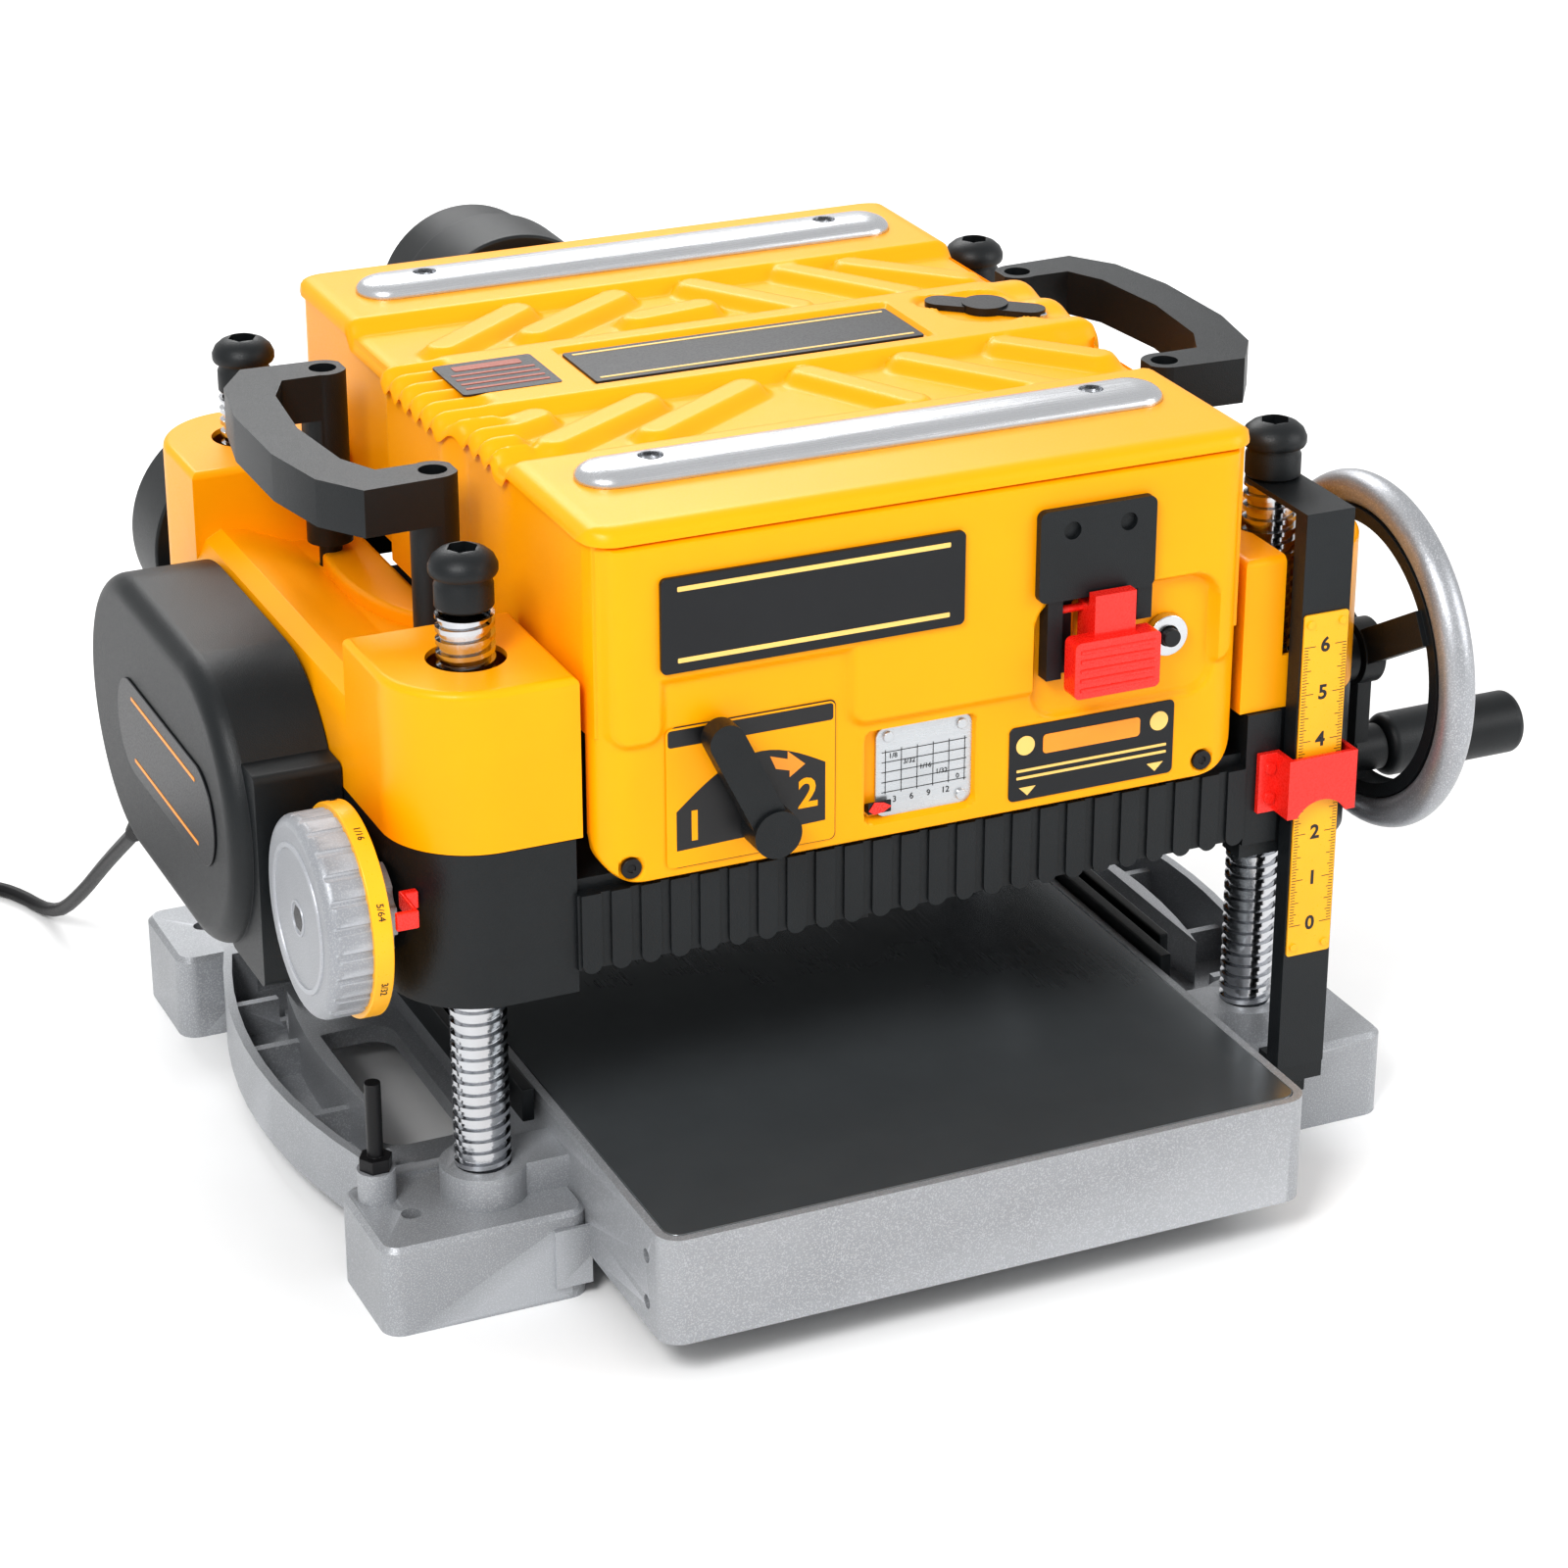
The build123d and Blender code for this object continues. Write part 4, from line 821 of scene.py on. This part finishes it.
def knob_marks():
    """Concentric ring and hexagon socket on the depth knob's face."""
    x = span("depth_knob", X)[0]
    centre = (x, KNOB_Y, KNOB_Z)
    ring = lathe([(1, 33), (-0.7, 33.8), (-0.7, 36.2), (1, 37)], centre, RIGHT, 64, hollow=True)
    collar = lathe([(1, 7.4), (-0.5, 7.8), (-0.5, 8.8), (1, 9.4)], centre, RIGHT, 48, hollow=True)
    merged("knob_rings", [mesh_from(*ring), mesh_from(*collar)], BODY_OF["depth_knob"], "grey_plastic")
    socket = [(x - 0.15, u, v) for u, v in ring_of(KNOB_Y, KNOB_Z, 6.5, 6)]
    hexagon = bevelled(mesh_from(*prism(socket, (0.6, 0, 0))), 0.2)
    merged("knob_socket", [hexagon], BODY_OF["depth_knob"], "black_steel")


def small_details():
    """Red tip of the removal gauge, the step on the left saddle and the screws by the wrench."""
    x0, y0 = span("gauge_pointer", X)[1] - 12, span("gauge_pointer", Y)[0]
    tip = [(x0, 240), (x0 + 3, 244.2), (x0 + 8, 243.4), (x0 + 12, 241), (x0 + 8, 238.6), (x0 + 3, 237.8)]
    merged("gauge_tip", [bevelled(front_mark([tip], y0, 0.5), 0.15)], "gauge", "red_plastic")
    arc = [pi * i / 20 for i in range(1, 20)]
    saddle = [(-175, 125)] + [(-175 - 30 * sin(turn), 50 + 75 * cos(turn)) for turn in arc] + [(-175, -25)]
    step = prism([(x, y, 282) for x, y in saddle], (0, 0, 12))
    merged("saddle_step", [smooth(bevelled(mesh_from(*step), 3, 3, 50), 50)], "carriage", "yellow_plastic")
    head = [(0, 3.6), (0.9, 3.6), (1.5, 3.0), (1.5, 1.6), (0.8, 1.4)]
    places = [(x, y, COVER_TOP - SUNK) for x, y in ((119, 24), (160, -16))]
    screws = [mesh_from(*lathe(head, place, UP, 28)) for place in places]
    merged("wrench_screws", screws, "carriage", "bright_steel")


def top_mark(outlines, z):
    """Flat shapes on the top, from (x, y) outlines."""
    return mesh_from(*joined([prism([(u, v, z) for u, v in shape], (0, 0, 0.2)) for shape in outlines]))


def plate_marks():
    """Lines on the name plate, the blank notice beside it and lines on the motor cover's badge."""
    lines = [rounded_outline(-86, 86, v - 0.9, v + 0.9, 0.5) for v in (-19, 19)]
    merged("plate_lines", [top_mark(lines, COVER_TOP - 0.9)], "carriage", "dark_plate", PRINTS["cream"])
    notice = prism([(u, v, COVER_TOP - 0.6) for u, v in rounded_outline(-158, -106, -20, 27, 2)], (0, 0, 0.9))
    merged("top_notice", [mesh_from(*notice)], "carriage", "dark_plate")
    bars = [rounded_outline(-154, -110, v - 1.2, v + 1.2, 0.6) for v in (-12, -5, 2, 9)]
    bars.append(rounded_outline(-150, -114, 15, 22, 1.5))
    merged("top_notice_marks", [top_mark(bars, COVER_TOP + 0.3)], "carriage", "dark_plate", PRINTS["rust"])
    x = span("label_plates", X)[0]
    badge = [rounded_outline(-50, 60, z - 1.0, z + 1.0, 0.6) for z in (205, 239)]
    flat = [prism([(x, u, v) for u, v in line], (-0.2, 0, 0)) for line in badge]
    merged("motor_badge_lines", [mesh_from(*joined(flat))], "carriage", "dark_plate", PRINTS["orange"])


def paddle_ridges():
    """Five grip ridges across the switch paddle."""
    x0, width, first_z, apart = 69, 40, 292.5, 4.9
    y = span("switch_paddle", Y)[0]
    bars = []
    for i in range(5):
        z = first_z + apart * i
        outline = [(y + 0.6, z - 1.5), (y - 0.8, z - 0.7), (y - 0.8, z + 0.7), (y + 0.6, z + 1.5)]
        bars.append(prism([(x0, a, b) for a, b in outline], (width, 0, 0)))
    merged("paddle_ridges", [bevelled(mesh_from(*joined(bars)), 0.4)], "switch", "red_plastic")


# ---- camera, floor and light ----
CAMERA_AT, CAMERA_TO, LENS = (-0.8074, -1.8472, 1.0722), (-0.0026, -0.0548, 0.1813), 95.89
FLOOR_REACH, WORLD_STRENGTH = 12.0, 0.70


def camera():
    data = bpy.data.cameras.new("camera")
    data.lens = LENS
    data.sensor_width = 36.0
    obj = linked("camera", data)
    obj.location = CAMERA_AT
    obj.rotation_euler = (Vector(CAMERA_TO) - obj.location).to_track_quat("-Z", "Y").to_euler()
    bpy.context.scene.camera = obj


def area_light(name, place, target, size, power):
    """Rectangular light in watts and metres, turned towards its target."""
    data = bpy.data.lights.new(name, "AREA")
    data.shape = "RECTANGLE"
    data.size, data.size_y = size
    data.energy = power
    obj = linked(name, data)
    obj.location = place
    obj.rotation_euler = (Vector(target) - Vector(place)).to_track_quat("-Z", "Y").to_euler()


def studio():
    """Pale floor, even sky and three soft lights."""
    mesh = bpy.data.meshes.new("floor")
    corners = [(x, y, 0) for x, y in strip(-FLOOR_REACH, FLOOR_REACH, -FLOOR_REACH, FLOOR_REACH)]
    mesh.from_pydata(corners, [], [(0, 1, 2, 3)])
    floor = linked("floor", mesh)
    mesh.materials.append(finish("floor_white", (0.93, 0.93, 0.93), 0.7, tint=0.005, bump=0.0))
    world = bpy.data.worlds.new("studio")
    world.use_nodes = True
    sky = world.node_tree.nodes["Background"]
    sky.inputs["Color"].default_value = (1, 1, 1, 1)
    sky.inputs["Strength"].default_value = WORLD_STRENGTH
    bpy.context.scene.world = world
    area_light("key", (-1.6, -1.6, 2.2), (0, 0, 0.2), (0.9, 0.9), 46)
    area_light("fill", (1.9, -1.5, 1.2), (0, 0, 0.2), (1.2, 1.2), 17)
    area_light("back", (0.3, 2.0, 1.9), (0, 0, 0.3), (1.6, 1.0), 26)
    view = bpy.context.scene.view_settings
    view.view_transform = "Standard"
    view.look = "Medium High Contrast"


camera()
power_cord()
top_cover()
front_panel()
top_rails()
posts()
post_caps()
remaining_nodes()
ruler_marks()
badge_marks()
speed_marks()
notice_marks()
gauge_marks()
ring_marks()
knob_marks()
plate_marks()
small_details()
paddle_ridges()
studio()
